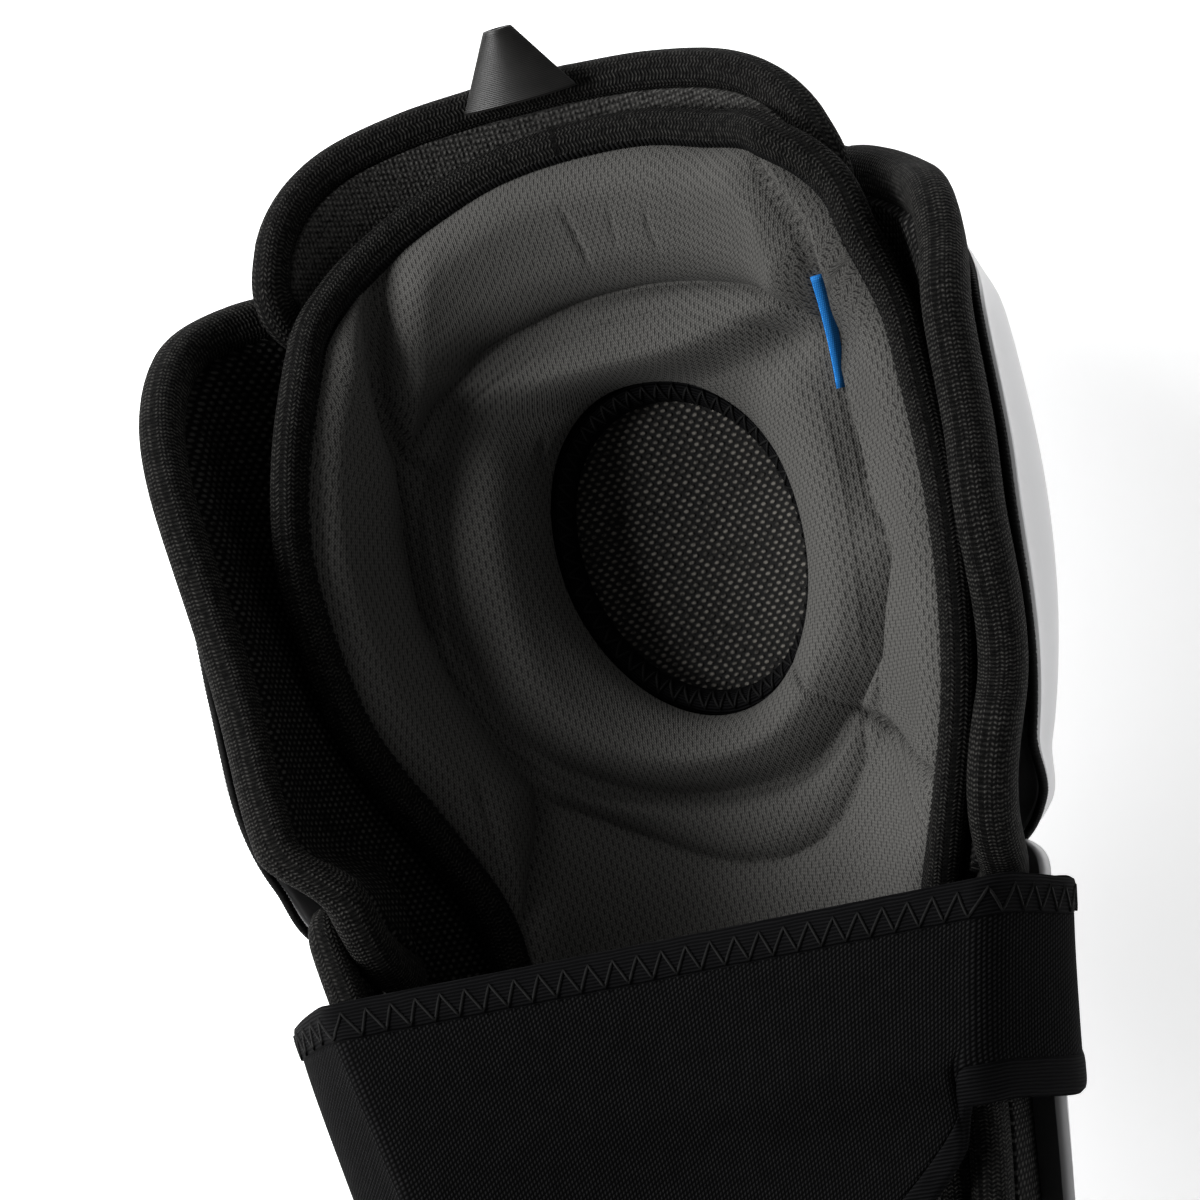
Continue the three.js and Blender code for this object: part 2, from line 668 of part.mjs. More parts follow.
const PIECES = [
  { name: "knee_shell", material: "plastic", shape: shell(KNEE_SHELL_EDGE, KNEE_REST, kneeLip) },
  { name: "shin_shell", material: "plastic", shape: shell(SHIN_SHELL_EDGE, SHIN_REST, noLip) },
  { name: "knee_cradle", material: "mesh", shape: kneeCradle() },
  { name: "shin_cradle", material: "mesh", shape: shinCradle() },
  { name: "wing_binding_right", material: "knit", shape: roll(wingRollRight, WING_ROLL_RADIUS, false) },
  { name: "wing_binding_left", material: "knit", shape: roll(wingRollLeft, WING_ROLL_RADIUS, false) },
  { name: "calf_binding_right", material: "knit", shape: roll(calfRollRight, CALF_ROLL_RADIUS, false) },
  { name: "calf_binding_left", material: "knit", shape: roll(calfRollLeft, CALF_ROLL_RADIUS, false) },
  { name: "thigh_guard", material: "mesh", shape: thighGuard() },
  { name: "thigh_binding", material: "knit", shape: roll(thighRoll, THIGH_ROLL_RADIUS, false) },
  { name: "liner", material: "grey", shape: liner() },
  { name: "liner_binding", material: "knit", shape: linerRoll() },
  { name: "knee_hole_binding", material: "elastic", shape: holeBand() },
  { name: "calf_strap", material: "stretch", shape: strapCloth() },
  { name: "strap_binding_top", material: "elastic", shape: strapEdge(0, STRAP_EDGE_WIDTH) },
  { name: "strap_binding_bottom", material: "elastic", shape: strapEdge(1, -STRAP_EDGE_WIDTH) },
  { name: "fastening_patch", material: "loop", shape: patch() },
  { name: "side_tag", material: "blue", shape: sideTag() },
  { name: "pull_tab", material: "satin", shape: pullTab() },
];

const pad = new THREE.Group();
pad.name = "shin_pad";
for (const { name, material, shape } of PIECES) {
  const mesh = new THREE.Mesh(shape, new THREE.MeshStandardMaterial(MATERIALS[material]));
  mesh.name = name;
  pad.add(mesh);
}

// The middle of the pad's footprint is the origin
const footprint = new THREE.Box3().setFromObject(pad);
const middle = footprint.getCenter(new THREE.Vector3());
pad.position.set(-middle.x, -middle.y, -footprint.min.z);

export default pad;
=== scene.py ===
"""Looks of a hockey shin pad that lies on its front with the hollow for the leg facing up.

Places on the pad are given in millimetres as across, along and out: the way round the leg from the middle
line, the distance from the middle of the knee towards the thigh, and the depth away from the leg.
"""

import math

import bpy
import numpy as np
from mathutils import Matrix, Vector


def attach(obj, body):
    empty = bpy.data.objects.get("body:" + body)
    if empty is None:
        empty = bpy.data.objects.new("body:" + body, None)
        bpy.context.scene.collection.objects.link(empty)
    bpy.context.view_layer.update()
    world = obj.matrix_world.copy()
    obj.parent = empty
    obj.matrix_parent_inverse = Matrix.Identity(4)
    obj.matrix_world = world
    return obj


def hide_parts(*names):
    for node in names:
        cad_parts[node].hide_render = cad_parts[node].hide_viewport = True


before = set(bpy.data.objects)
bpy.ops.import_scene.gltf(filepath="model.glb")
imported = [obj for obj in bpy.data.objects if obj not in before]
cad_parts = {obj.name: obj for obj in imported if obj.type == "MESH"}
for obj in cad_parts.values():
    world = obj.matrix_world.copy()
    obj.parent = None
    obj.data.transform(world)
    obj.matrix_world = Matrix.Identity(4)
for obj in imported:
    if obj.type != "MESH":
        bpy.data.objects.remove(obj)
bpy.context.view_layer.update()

MM = 0.001
KNEE_MIDDLE = np.array([0.0155, 109.929, 0.0])

# Camera, as turns in degrees away from straight above the knee
CAMERA_SIDE = 17
CAMERA_FOOT = 7
CAMERA_ROLL = 11
CAMERA_DISTANCE = 1000
CAMERA_KNEE = np.array([0, 0, 15])
CAMERA_AIM = np.array([-29, -8, 15])
CAMERA_LENS = 115.4

# Light: glow of the floor and the room, and lamps with their place, size and power
FLOOR_GLOW = 0.6
ROOM_LIGHT = 0.16
LAMPS = [
    ("key", (-1.38, 0.06, 1.45), 0.8, 45),
    ("top", (-1.11, 1.33, 1.0), 0.8, 28),
    ("fill", (1.9, -0.2, 0.4), 1.2, 5),
]

# Layers, as depths away from the leg side of the foam cradle
CRADLE_FAR = 9
SHELL_NEAR = 10.6
SHELL_FAR = 13.4
PATCH_NEAR = 13.5
PATCH_FAR = 15.3
LINER_GAP = 1.6
THIGH_NEAR = -11
THIGH_FAR = -2.5
THIGH_ROOM = 14.4
THIGH_ROOM_START = {"middle": 42, "left": 2, "right": 34}
THIGH_ROOM_END = {"middle": 57, "left": 64, "right": 64}
THIGH_ROOM_SIDE = (60, 100)
THIGH_ROOM_EASE = 0.65
THIGH_ROOM_EASE_ACROSS = (80, 106)
KNEE_LIP = 4
KNEE_LIP_ALONG = (-66, -80)
SHELL_FLARE = 4.5
SHELL_FLARE_ACROSS = (56, 116)
KNEE_FLARE = 3
KNEE_FLARE_ALONG = (20, -20)
SHELL_BULGE = 5
THIGH_SHIFT = -9

# Splay of the left wing, lean of its tip, lower top corner of the right wing, dip of the shin cradle's top
# and the right side's shorter reach
SPLAY = 12
SPLAY_ALONG = (-40, 60)
SPLAY_ACROSS = (-85, -125)
CORNER_DIP = 8
CORNER_DIP_ALONG = (26, 54)
CORNER_DIP_ACROSS = (66, 108)
TIP_LEAN = 10.2
TIP_LEAN_ALONG = (-60, -80)
TIP_LEAN_ACROSS = (-100, -116)
SHIN_DIP = 36
SHIN_DIP_ALONG = (-160, -86)
SHIN_DIP_ACROSS = (-112, -126)
RIGHT_DROP = 0.13
RIGHT_DROP_ALONG = (-10, -60)
RIGHT_RETURN_ALONG = (-150, -260)

# Rolled edges: radius, and the tape's half width, half height, shift onto the pad and shift away from the leg
ROLL_GAP = 0.5
WING_ROLL = 5
CALF_ROLL = 4.6
LINER_ROLL = 4.6
LINER_ROLL_SINK = 0.5
THIGH_ROLL = 4.6
TAPES = {
    "right_wing": (6.6, 5.6, 2, 2.6),
    "left_wing": (5.8, 5.3, 1.6, 0.4),
    "calf": (5.4, 4.6, 1.4, 0),
    "liner": (4.6, 4.4, 1.6, 0),
    "thigh": (4.8, 4.4, 0.6, 0),
}
EDGE_TUCK = 3.4
CORD = {"radius": 1.2, "out": 11.8, "pitch": 2.2, "twist": 0.28}
TAPE_SQUARE = 0.8

# Leg side of the cradle: along, middle, half width, depth of the hollow, height of its front
LEG_SECTIONS = np.array(
    [
        (-350, -7, 46, 42, 18),
        (-310, -6, 50, 46, 13.5),
        (-200, -3, 60, 60, 13.5),
        (-150, -2, 66, 68, 14.5),
        (-100, -1, 73.5, 75, 19),
        (-50, 0, 86, 82, 16),
        (-10, 0, 90, 82, 13.5),
        (30, 0, 90, 82, 16),
        (60, 0, 90, 80, 25),
        (90, 0, 87, 72, 38),
        (135, 0, 82, 60, 58),
    ]
)

# Edges of the padded sheets and shells: along, half reach
KNEE_CRADLE_EDGE = [
    (73, 70), (69, 104), (57, 126), (30, 142), (-10, 148),
    (-45, 150), (-68, 150), (-84, 138), (-94, 116), (-100, 86),
]
SHIN_CRADLE_EDGE = [
    (-84, 126), (-88, 131), (-100, 133), (-118, 133), (-150, 128),
    (-200, 116), (-260, 98), (-310, 80), (-334, 64), (-342, 42),
]
THIGH_GUARD_EDGE = [(64, 72), (76, 90), (87, 88), (98, 76), (107, 58), (113, 34), (115.5, 11)]
KNEE_SHELL_EDGE = [
    (88, 20), (83, 54), (70, 88), (54, 113), (30, 133), (-10, 140),
    (-44, 141), (-66, 128), (-84, 98), (-94, 60),
]
SHIN_SHELL_EDGE = [
    (-84, 40), (-88, 84), (-98, 112), (-116, 118), (-150, 112),
    (-220, 88), (-290, 68), (-332, 52), (-346, 28),
]

# Liner outline and raised middle: along, reach to the left, reach to the right
LINER_OUTLINE = [
    (105, 0, 0), (103, 22, 27), (97, 43, 50), (88, 66, 79), (76, 90, 93), (62, 110, 101), (38, 125, 105),
    (5, 123, 108), (-30, 112, 108), (-64, 85, 101), (-86, 71, 85), (-106, 67, 69), (-150, 58, 58),
    (-210, 50, 50), (-270, 44, 44), (-318, 38, 38), (-335, 24, 24), (-340, 0, 0),
]
LINER_MIDDLE = [
    (72, 0, 0), (70, 26, 34), (62, 51, 58), (50, 69, 73), (34, 80, 77), (8, 81, 77),
    (-18, 78, 80), (-40, 68, 69), (-62, 51, 57), (-75, 26, 44), (-85, 0, 0),
]
KNEE_RING = {"across": -1, "along": -0.5, "half_across": 74, "half_along": 65, "lean": 0, "square": 2.5}
KNEE_HOLE = {"across": 1.5, "along": 0, "half_across": 39, "half_along": 47.5, "lean": 0.33, "square": 2}

# Padding of the liner outwards from the knee hole: way, padding, that of the wall above the knee and that
# of the right side. A way of 0 to 1 crosses the ring, 1 to 2 the step round it and 2 to 3 the outer panels.
LINER_PROFILE = np.array(
    [
        (0, 6.5, 6.5, 6.5),
        (0.1, 10.5, 9, 10.5),
        (0.35, 15, 12, 14.5),
        (0.62, 16.5, 12, 16.5),
        (0.85, 12.5, 9.5, 16),
        (1, 8, 8, 14),
        (1.35, 7.5, 7, 12),
        (1.7, 6.5, 6.5, 10.5),
        (2, 5, 5.5, 9),
        (2.12, 5, 5.5, 8.5),
        (2.4, 6, 6.5, 8),
        (2.75, 6.5, 7, 7.5),
        (3, 6, 6, 6),
    ]
)
CROWN = (0.45, 0.85)
RIGHT_SIDE = (0.7, 0.92)

# Seams of the liner as places across and along: the step of the wall over the ring, the wall's left side,
# the fold left of it, the ring's edge, the crescent below the ring, the lap along the right panel, the soft
# fold below that, the slanting seam and the crease at the lower left
STEP = [
    (-78, 36), (-64, 51), (-47, 62), (-27, 68), (-8, 71.5), (11, 71.5), (30, 68.5), (50, 62.5),
    (63, 56), (74, 47),
]
WALL_SIDE = [(-64, 92), (-73, 78), (-81, 64), (-84, 50), (-78, 36)]
FOLD = [
    (-70, 92), (-85, 72), (-91, 58), (-89, 46), (-83, 34), (-82, 24), (-83, 13), (-83, -2),
    (-79, -17), (-72, -31), (-64, -44), (-56, -56),
]
RING_EDGE = [
    (-72, 32), (-77, 20), (-79, 5), (-78, -6), (-73, -18), (-62, -41), (-48, -52), (-28, -60.5), (-10, -64.5),
    (7, -66), (26, -65), (40, -58),
]
CRESCENT = [
    (-52, -60), (-34, -69), (-22, -75), (-8, -81.5), (3, -84), (15, -84.5), (28, -81), (38, -75), (47, -66),
    (50, -56),
]
LAP = [
    (83, -18), (77, -4), (76, 10), (75, 28), (76, 38), (82, 45), (91, 53), (93, 62), (89, 72),
    (82, 82), (72, 94),
]
SOFT_FOLD = [(83, -18), (75, -29), (66, -42), (49, -53)]
SLANT = [(49, -53), (64, -62), (80, -71), (99, -80)]
LEFT_CREASE = [(-56, -56), (-58, -67), (-62, -76), (-68, -92)]

# Finer creases: depth, width and places
LINER_CREASES = [
    (
        3, 8,
        [(-70, 90), (-80, 72), (-86, 58), (-87, 46), (-81, 35), (-80, 24), (-81, 13), (-81, -2), (-77, -17)],
    ),
    (1.2, 3, [(-70, 30), (-64, 41), (-51, 52), (-30, 60), (2, 65.5), (28, 62), (51, 52), (62, 42)]),
    (3, 3.6, [(29, -37), (36, -43), (43, -48), (52, -55), (64, -62), (80, -71), (97, -79)]),
    (1, 3, [(68, -70), (78, -81), (88, -92)]),
    (2, 7, [(-80, -50), (-76, -66), (-72, -84), (-67, -104)]),
    (1.3, 2.6, [(-4, 99), (-1, 90), (1, 78)]),
    (0.7, 2.2, [(15, 95), (13, 89), (12, 82)]),
    (0.9, 2.2, [(28, 92), (26, 85), (28, 78)]),
    (1.2, 2.6, [(-33, 39), (-36, 33), (-35, 25)]),
]
RIM_ROUND = 9
SEAM_ROUND = 0.9
SEAM_FADE = 9
LAP_OVER = (4, 0)
LEAST_PADDING = 2.5
LINER_SPOKES = 640
LINER_ROWS = {"ring": 46, "step": 18, "panels": 76, "back": 10}

# Stitched band round the knee hole: distance in from the hole's edge, height over the cradle
HOLE_BAND = [(0.4, 1.7), (0.4, 8.5), (3, 10), (6.5, 7.5), (7.5, 3.5), (6.5, 1.7)]
HOLE_BAND_TOP = [(0.4, 8.6), (1.6, 9.8), (3, 10.1), (5, 9.2), (6.5, 7.6), (7.2, 5.6)]
HOLE_STITCHES = {"count": 108, "inner": 6.6, "outer": 1.8, "lift": 0.15}
STITCH_THREAD = 0.42
EDGE_THREAD = 0.5

# Calf strap
STRAP_TOP = -110
STRAP_BOTTOM = -194
STRAP_BOTTOM_RIGHT = -140
STRAP_RISE = (0.4, 0.505)
STRAP_THICKNESS = 2
STRAP_LIFT = 0.5
STRAP_OUT = 16.3
STRAP_CLEAR = {"left": 0.9, "right": 4}
STRAP_SAG = 5
STRAP_END_RIGHT = 60
STRAP_END_LEFT = -66
STRAP_SIDE_SHARES = (0, 0.3, 0.6, 0.78)
STRAP_RIM_TURNS = (35, 70, 105)
STRAP_RIM_TOP = {"left": -100, "right": -136}
STRAP_EDGE_WIDTH = 9.5
STRAP_EDGE_THICKNESS = 3
STRAP_STITCHES = {"length": 2.9, "low": 0.2, "high": 0.82}

# Small pieces
PATCH_ALONG = (-98, -186)
PATCH_ACROSS = (-68, -100)
TAG = {"from_across": 75, "to_across": 92, "from": 27, "to": 54}
TAG_RISE = {"low": 0.5, "high": 2.2, "thickness": 0.9, "lift": 4}
TAB = {"across": -9, "along": 120, "height": 19, "base": 15.5, "top": 3.8, "out": -15.5}
TAB_BASE_DEPTH = 3.4
TAB_TOP_DEPTH = 1.8


def smooth(value, start, end):
    """0 at start, 1 at end and an even change of slope between them."""
    share = np.clip((value - start) / (end - start), 0, 1)
    return share * share * (3 - 2 * share)


def blend(start, end, share):
    return start + (end - start) * share


def cubic(table, place):
    """Columns of a table, whose first column is the place, on a smooth curve through its rows."""
    knots, values = table[:, 0], table[:, 1:]
    last = len(knots) - 1
    place = np.clip(np.asarray(place, float), knots[0], knots[-1])
    upper = np.clip(np.searchsorted(knots, place, side="right"), 1, last)
    lower = upper - 1
    before = np.where(lower > 0, lower - 1, upper)
    after = np.where(upper < last, upper + 1, lower)
    half = (knots[upper] - knots[lower]) / 2
    weight_before = half / (knots[lower] - knots[before])
    weight_after = half / (knots[after] - knots[upper])
    p = (place - knots[lower]) / (knots[upper] - knots[lower])
    p2, p3 = p * p, p * p * p
    parts = [
        (before, -weight_before * (p3 - 2 * p2 + p)),
        (lower, (1 + weight_before) * p3 - (1.5 + 2 * weight_before) * p2 + (weight_before - 0.5) * p + 1),
        (upper, -(1 + weight_after) * p3 + (1.5 + weight_after) * p2 + 0.5 * p),
        (after, weight_after * (p3 - p2)),
    ]
    return np.moveaxis(sum(values[row] * share[..., None] for row, share in parts), -1, 0)


def leg_face(across, along):
    """Points on the leg side of the cradle."""
    across, along = np.broadcast_arrays(np.asarray(across, float), np.asarray(along, float))
    middle, half_width, depth, front = cubic(LEG_SECTIONS, along)
    turn = across / half_width
    return np.stack([middle + half_width * np.sin(turn), along, front + depth * (1 - np.cos(turn))], -1)


def unit(vectors):
    return vectors / np.maximum(np.linalg.norm(vectors, axis=-1, keepdims=True), 1e-9)


def outward(across, along):
    """Directions away from the leg."""
    across_way = leg_face(across + 0.5, along) - leg_face(across - 0.5, along)
    along_way = leg_face(across, along + 0.5) - leg_face(across, along - 0.5)
    return unit(np.cross(along_way, across_way))


def layer(across, along, out):
    across, along, out = np.broadcast_arrays(across, along, out)
    across, along = across.astype(float), along.astype(float)
    return leg_face(across, along) + outward(across, along) * out[..., None]


def hermite(start, end, leave, arrive, share):
    s2, s3 = share * share, share**3
    return (
        (2 * s3 - 3 * s2 + 1) * start
        + (s3 - 2 * s2 + share) * leave
        + (3 * s2 - 2 * s3) * end
        + (s3 - s2) * arrive
    )


def spans_of(padded, ways):
    """The four points round each place on a curve, and its share of the way between the middle two."""
    count = len(padded) - 3
    place = np.asarray(ways, float) * count
    start = np.minimum(place.astype(int), count - 1)
    return [padded[start + k] for k in range(4)], (place - start)[:, None]


def edge_curve(edge, ways):
    """Half reach and along on a sheet's edge."""
    points = np.array(edge, float)[:, ::-1]
    (p0, p1, p2, p3), share = spans_of(np.concatenate([points[:1], points, points[-1:]]), ways)
    return hermite(p1, p2, (p2 - p0) / 2, (p3 - p1) / 2, share)


def flowing(points, ways, closed):
    """Smooth curve through points, with no overshoot at close ones."""
    points = np.asarray(points, float)
    if closed:
        padded = np.concatenate([points[-1:], points, points[:2]])
    else:
        padded = np.concatenate([2 * points[:1] - points[1:2], points, 2 * points[-1:] - points[-2:-1]])
    (p0, p1, p2, p3), share = spans_of(padded, ways)
    spans = (p1 - p0, p2 - p1, p3 - p2)
    d0, d1, d2 = (np.sqrt(np.linalg.norm(span, axis=-1, keepdims=True)) for span in spans)
    leave = d1 * ((p1 - p0) / d0 - (p2 - p0) / (d0 + d1) + (p2 - p1) / d1)
    arrive = d1 * ((p2 - p1) / d1 - (p3 - p1) / (d1 + d2) + (p3 - p2) / d2)
    return hermite(p1, p2, leave, arrive, share)


def tip_lean(across, along):
    return TIP_LEAN * smooth(along, *TIP_LEAN_ALONG) * smooth(across, *TIP_LEAN_ACROSS)


def wing_splay(across, along):
    return SPLAY * smooth(along, *SPLAY_ALONG) * smooth(across, *SPLAY_ACROSS)


def corner_dip(across, along):
    return CORNER_DIP * smooth(along, *CORNER_DIP_ALONG) * smooth(across, *CORNER_DIP_ACROSS)


def shin_dip(across, along):
    return SHIN_DIP * smooth(along, *SHIN_DIP_ALONG) * (1 - smooth(across, *SHIN_DIP_ACROSS))


def reached(across, along):
    """Place across the leg after the right side's shorter reach."""
    drop = RIGHT_DROP * (smooth(along, *RIGHT_DROP_ALONG) - smooth(along, *RIGHT_RETURN_ALONG))
    return np.where(across > 0, across * (1 - drop), across)


def shell_flare(across):
    return SHELL_FLARE * smooth(np.abs(across), *SHELL_FLARE_ACROSS)


def knee_lip(along):
    return KNEE_LIP * smooth(along, *KNEE_LIP_ALONG)


def liner_back(across, along):
    """How far the liner's back stands off the cradle, more where the thigh guard runs behind it."""
    side = smooth(np.abs(across), *THIGH_ROOM_SIDE)
    right = np.asarray(across) > 0
    start, end = (
        blend(place["middle"], np.where(right, place["right"], place["left"]), side)
        for place in (THIGH_ROOM_START, THIGH_ROOM_END)
    )
    ease = 1 - THIGH_ROOM_EASE * smooth(across, *THIGH_ROOM_EASE_ACROSS)
    return LINER_GAP + (THIGH_ROOM - LINER_GAP) * smooth(along, start, end) * ease


# Meshes


def new_piece(name, points, faces, uvs, nodes, slot, material):
    """Object from points in millimetres, faces and a place on the cloth for each point."""
    mesh = bpy.data.meshes.new(name)
    mesh.from_pydata(((np.asarray(points) + KNEE_MIDDLE) * MM).tolist(), [], faces)
    corners = np.zeros(len(mesh.loops), np.int32)
    mesh.loops.foreach_get("vertex_index", corners)
    cloth = mesh.uv_layers.new(name="cloth")
    cloth.uv.foreach_set("vector", np.asarray(uvs, np.float32)[corners].ravel())
    mesh.polygons.foreach_set("use_smooth", np.ones(len(mesh.polygons), bool))
    mesh.materials.append(material)
    piece = bpy.data.objects.new(name, mesh)
    bpy.context.scene.collection.objects.link(piece)
    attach(piece, "root")
    if nodes:
        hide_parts(*nodes)
    return piece


def grid_faces(rows, columns, closed_rows=False, closed_columns=False, start=0):
    """Quads of a grid of points."""
    row = np.arange(rows if closed_rows else rows - 1)
    column = np.arange(columns if closed_columns else columns - 1)
    row, column = np.meshgrid(row, column, indexing="ij")
    below, beside = (row + 1) % rows, (column + 1) % columns
    corners = [(row, column), (row, beside), (below, beside), (below, column)]
    quads = [line * columns + place for line, place in corners]
    return (np.stack(quads, -1).reshape(-1, 4) + start).tolist()


def pieced(parts):
    """Several (points, faces, uvs) as one."""
    points, faces, uvs = [], [], []
    start = 0
    for part_points, part_faces, part_uvs in parts:
        points.append(part_points)
        uvs.append(part_uvs)
        faces += [[corner + start for corner in face] for face in part_faces]
        start += len(part_points)
    return np.concatenate(points), faces, np.concatenate(uvs)


def turned_out(points, faces):
    """The faces, reversed if they point into the body."""
    points = np.asarray(points)
    a, b, c = (points[[face[k] for face in faces]] for k in range(3))
    d = points[[face[-1] for face in faces]]
    volume = (a * np.cross(b, c)).sum() + (a * np.cross(c, d)).sum()
    return faces if volume > 0 else [face[::-1] for face in faces]


def loft(loops, uvs, closed):
    """Body through a run of closed loops, capped at its ends if the run is open."""
    rows, columns = loops.shape[:2]
    faces = grid_faces(rows, columns, closed_rows=closed, closed_columns=True)
    if not closed:
        first = list(range(columns))
        faces.append(first[::-1])
        faces.append([corner + (rows - 1) * columns for corner in first])
    points = loops.reshape(-1, 3)
    return points, turned_out(points, faces), uvs.reshape(-1, 2)


def sheet_body(edge, rows, columns, place):
    """Body of a sheet whose rows reach to both sides of the middle line as its edge says."""
    half, along = edge_curve(edge, np.linspace(0, 1, rows)).T
    share = np.linspace(-1, 1, columns)[None, :]
    across = share * half[:, None]
    along = np.broadcast_to(along[:, None], across.shape)
    near, far = place(share, across, along, False), place(share, across, along, True)
    cloth = np.stack([across, along], -1)
    loops = np.concatenate([near, far[:, ::-1]], axis=1)
    return loft(loops, np.concatenate([cloth, cloth[:, ::-1]], axis=1), False)


def frames_along(centres, up_hint, closed):
    """Sideways and upwards directions along a path."""
    if closed:
        ahead = np.roll(centres, -1, axis=0) - np.roll(centres, 1, axis=0)
    else:
        ahead = np.gradient(centres, axis=0)
    ahead = unit(ahead)
    aside = unit(np.cross(ahead, up_hint))
    return aside, np.cross(aside, ahead)


def lengths_along(centres):
    steps = np.linalg.norm(np.diff(centres, axis=0), axis=-1)
    return np.concatenate([[0], np.cumsum(steps)])


def round_ends(centres, wide):
    """Path with two more places at each end, and how wide it is at each, for a rounded open end."""
    grow = np.array([0.0, 0.3, 0.75])
    swell = np.ones(len(centres) + 4)
    swell[:3] = np.sqrt(1 - (1 - grow) ** 2) + 0.02
    swell[-3:] = swell[:3][::-1]
    pull = (0.75 - grow)[:, None] * wide
    first = centres[:1] + unit(centres[0] - centres[1]) * pull
    last = centres[-1:] + unit(centres[-1] - centres[-2]) * pull[::-1]
    return np.concatenate([first, centres[1:-1], last]), swell


def tube(centres, aside, up, wide, high, sides, closed, square=1.0):
    """Body along a path, with its half width aside and half height up, and rounded ends if it is open."""
    swell = np.ones(len(centres))
    if not closed:
        centres, swell = round_ends(centres, min(wide, high))
        aside, up = (np.concatenate([way[:1], way[:1], way, way[-1:], way[-1:]]) for way in (aside, up))
    turn = np.linspace(0, 2 * math.pi, sides, endpoint=False)
    cosine, sine = (np.sign(part) * np.abs(part) ** square for part in (np.cos(turn), np.sin(turn)))
    section = aside[:, None] * (wide * cosine)[None, :, None] + up[:, None] * (high * sine)[None, :, None]
    loops = centres[:, None] + section * swell[:, None, None]
    length = lengths_along(centres)
    uvs = np.stack(np.broadcast_arrays(length[:, None], (turn * (wide + high) / 2)[None, :]), -1)
    return loft(loops, uvs, closed)


def thread(points, radius, sides=5, closed=False):
    """Thin thread along points."""
    points = np.asarray(points, float)
    up_hint = np.broadcast_to(np.array([0.3, 0.5, 0.8]), points.shape)
    return tube(points, *frames_along(points, up_hint, closed), radius, radius, sides, closed)


def pushed_out(across, along, away_across, away_along, radius, out):
    """Places a roll's radius and gap away from an edge, measured on the pad, and the way back to the edge."""
    edge = across, along
    depth = out(across, along)
    trial = layer(across + away_across, along + away_along, depth)
    stretch = np.linalg.norm(trial - layer(across, along, depth), axis=-1)
    reach = (radius + ROLL_GAP) / stretch
    across, along = across + away_across * reach, along + away_along * reach
    inward = unit(layer(*edge, depth) - layer(across, along, depth))
    return across, along, out(across, along), inward


def beside_edge(edge, side, steps, radius, out):
    """Path of a roll beside a sheet's right or left edge."""
    ways = np.linspace(0, 1, steps)
    half, along = edge_curve(edge, ways).T
    near = 1e-4
    before, after = edge_curve(edge, np.clip(ways - near, 0, 1)), edge_curve(edge, np.clip(ways + near, 0, 1))
    ahead = unit(after - before)
    flip = 1 if edge[0][0] > edge[-1][0] else -1
    return pushed_out(half * side, along, -ahead[:, 1] * flip * side, ahead[:, 0] * flip, radius, out)


def fine_edge(edge, dip):
    """A sheet's right edge after its shorter reach and its dip."""
    half, along = edge_curve(edge, np.linspace(0, 1, 37)).T
    return list(zip(along - dip(half, along), reached(half, along)))


# Materials


class Shader:
    """Builds a material's nodes from short expressions."""

    def __init__(self, name):
        self.material = bpy.data.materials.new(name)
        self.material.use_nodes = True
        self.tree = self.material.node_tree
        self.surface = self.tree.nodes["Principled BSDF"]

    def node(self, kind, **settings):
        made = self.tree.nodes.new(kind)
        for key, value in settings.items():
            setattr(made, key, value)
        return made

    def put(self, socket, value):
        if isinstance(value, bpy.types.NodeSocket):
            self.tree.links.new(value, socket)
        else:
            socket.default_value = value

    def math(self, operation, first, second=0.0, third=0.0):
        made = self.node("ShaderNodeMath", operation=operation)
        for socket, value in zip(made.inputs, (first, second, third)):
            self.put(socket, value)
        return made.outputs[0]

    def cloth(self):
        """Place on the cloth, in millimetres across and along."""
        place = self.node("ShaderNodeUVMap", uv_map="cloth")
        parts = self.node("ShaderNodeSeparateXYZ")
        self.tree.links.new(place.outputs[0], parts.inputs[0])
        return parts.outputs[0], parts.outputs[1]

    def position(self):
        return self.node("ShaderNodeTexCoord").outputs["Object"]

    def noise(self, scale, detail=2.0, place=None):
        made = self.node("ShaderNodeTexNoise")
        self.put(made.inputs["Vector"], place or self.position())
        made.inputs["Scale"].default_value = scale
        made.inputs["Detail"].default_value = detail
        return made.outputs[0]

    def wave(self, place, pitch, shift=0.0):
        """0 to 1 and back over each pitch."""
        turn = self.math("MULTIPLY_ADD", place, 2 * math.pi / pitch, shift)
        return self.math("MULTIPLY_ADD", self.math("SINE", turn), 0.5, 0.5)

    def from_middle(self, place, pitch):
        """Way from the middle of each pitch, -0.5 to 0.5."""
        return self.math("SUBTRACT", self.math("FRACT", self.math("DIVIDE", place, pitch)), 0.5)

    def step(self, value, low, high):
        made = self.node("ShaderNodeMapRange", interpolation_type="SMOOTHSTEP")
        self.put(made.inputs[0], value)
        made.inputs[1].default_value = low
        made.inputs[2].default_value = high
        return made.outputs[0]

    def mix(self, share, first, second):
        made = self.node("ShaderNodeMix", data_type="RGBA")
        self.put(made.inputs[0], share)
        self.put(made.inputs[6], first if isinstance(first, bpy.types.NodeSocket) else (*first, 1))
        self.put(made.inputs[7], second if isinstance(second, bpy.types.NodeSocket) else (*second, 1))
        return made.outputs[2]

    def finish(self, colour, roughness, height=None, depth=0.0003, strength=1.0, sheen=0.0, specular=0.08):
        self.put(self.surface.inputs["Base Color"], colour)
        self.surface.inputs["Roughness"].default_value = roughness
        self.surface.inputs["Specular IOR Level"].default_value = specular
        if sheen:
            self.surface.inputs["Sheen Weight"].default_value = sheen
            self.surface.inputs["Sheen Roughness"].default_value = 0.5
        if height is not None:
            bump = self.node("ShaderNodeBump")
            bump.inputs["Strength"].default_value = strength
            bump.inputs["Distance"].default_value = depth
            self.put(bump.inputs["Height"], height)
            self.put(self.surface.inputs["Normal"], bump.outputs[0])
        return self.material


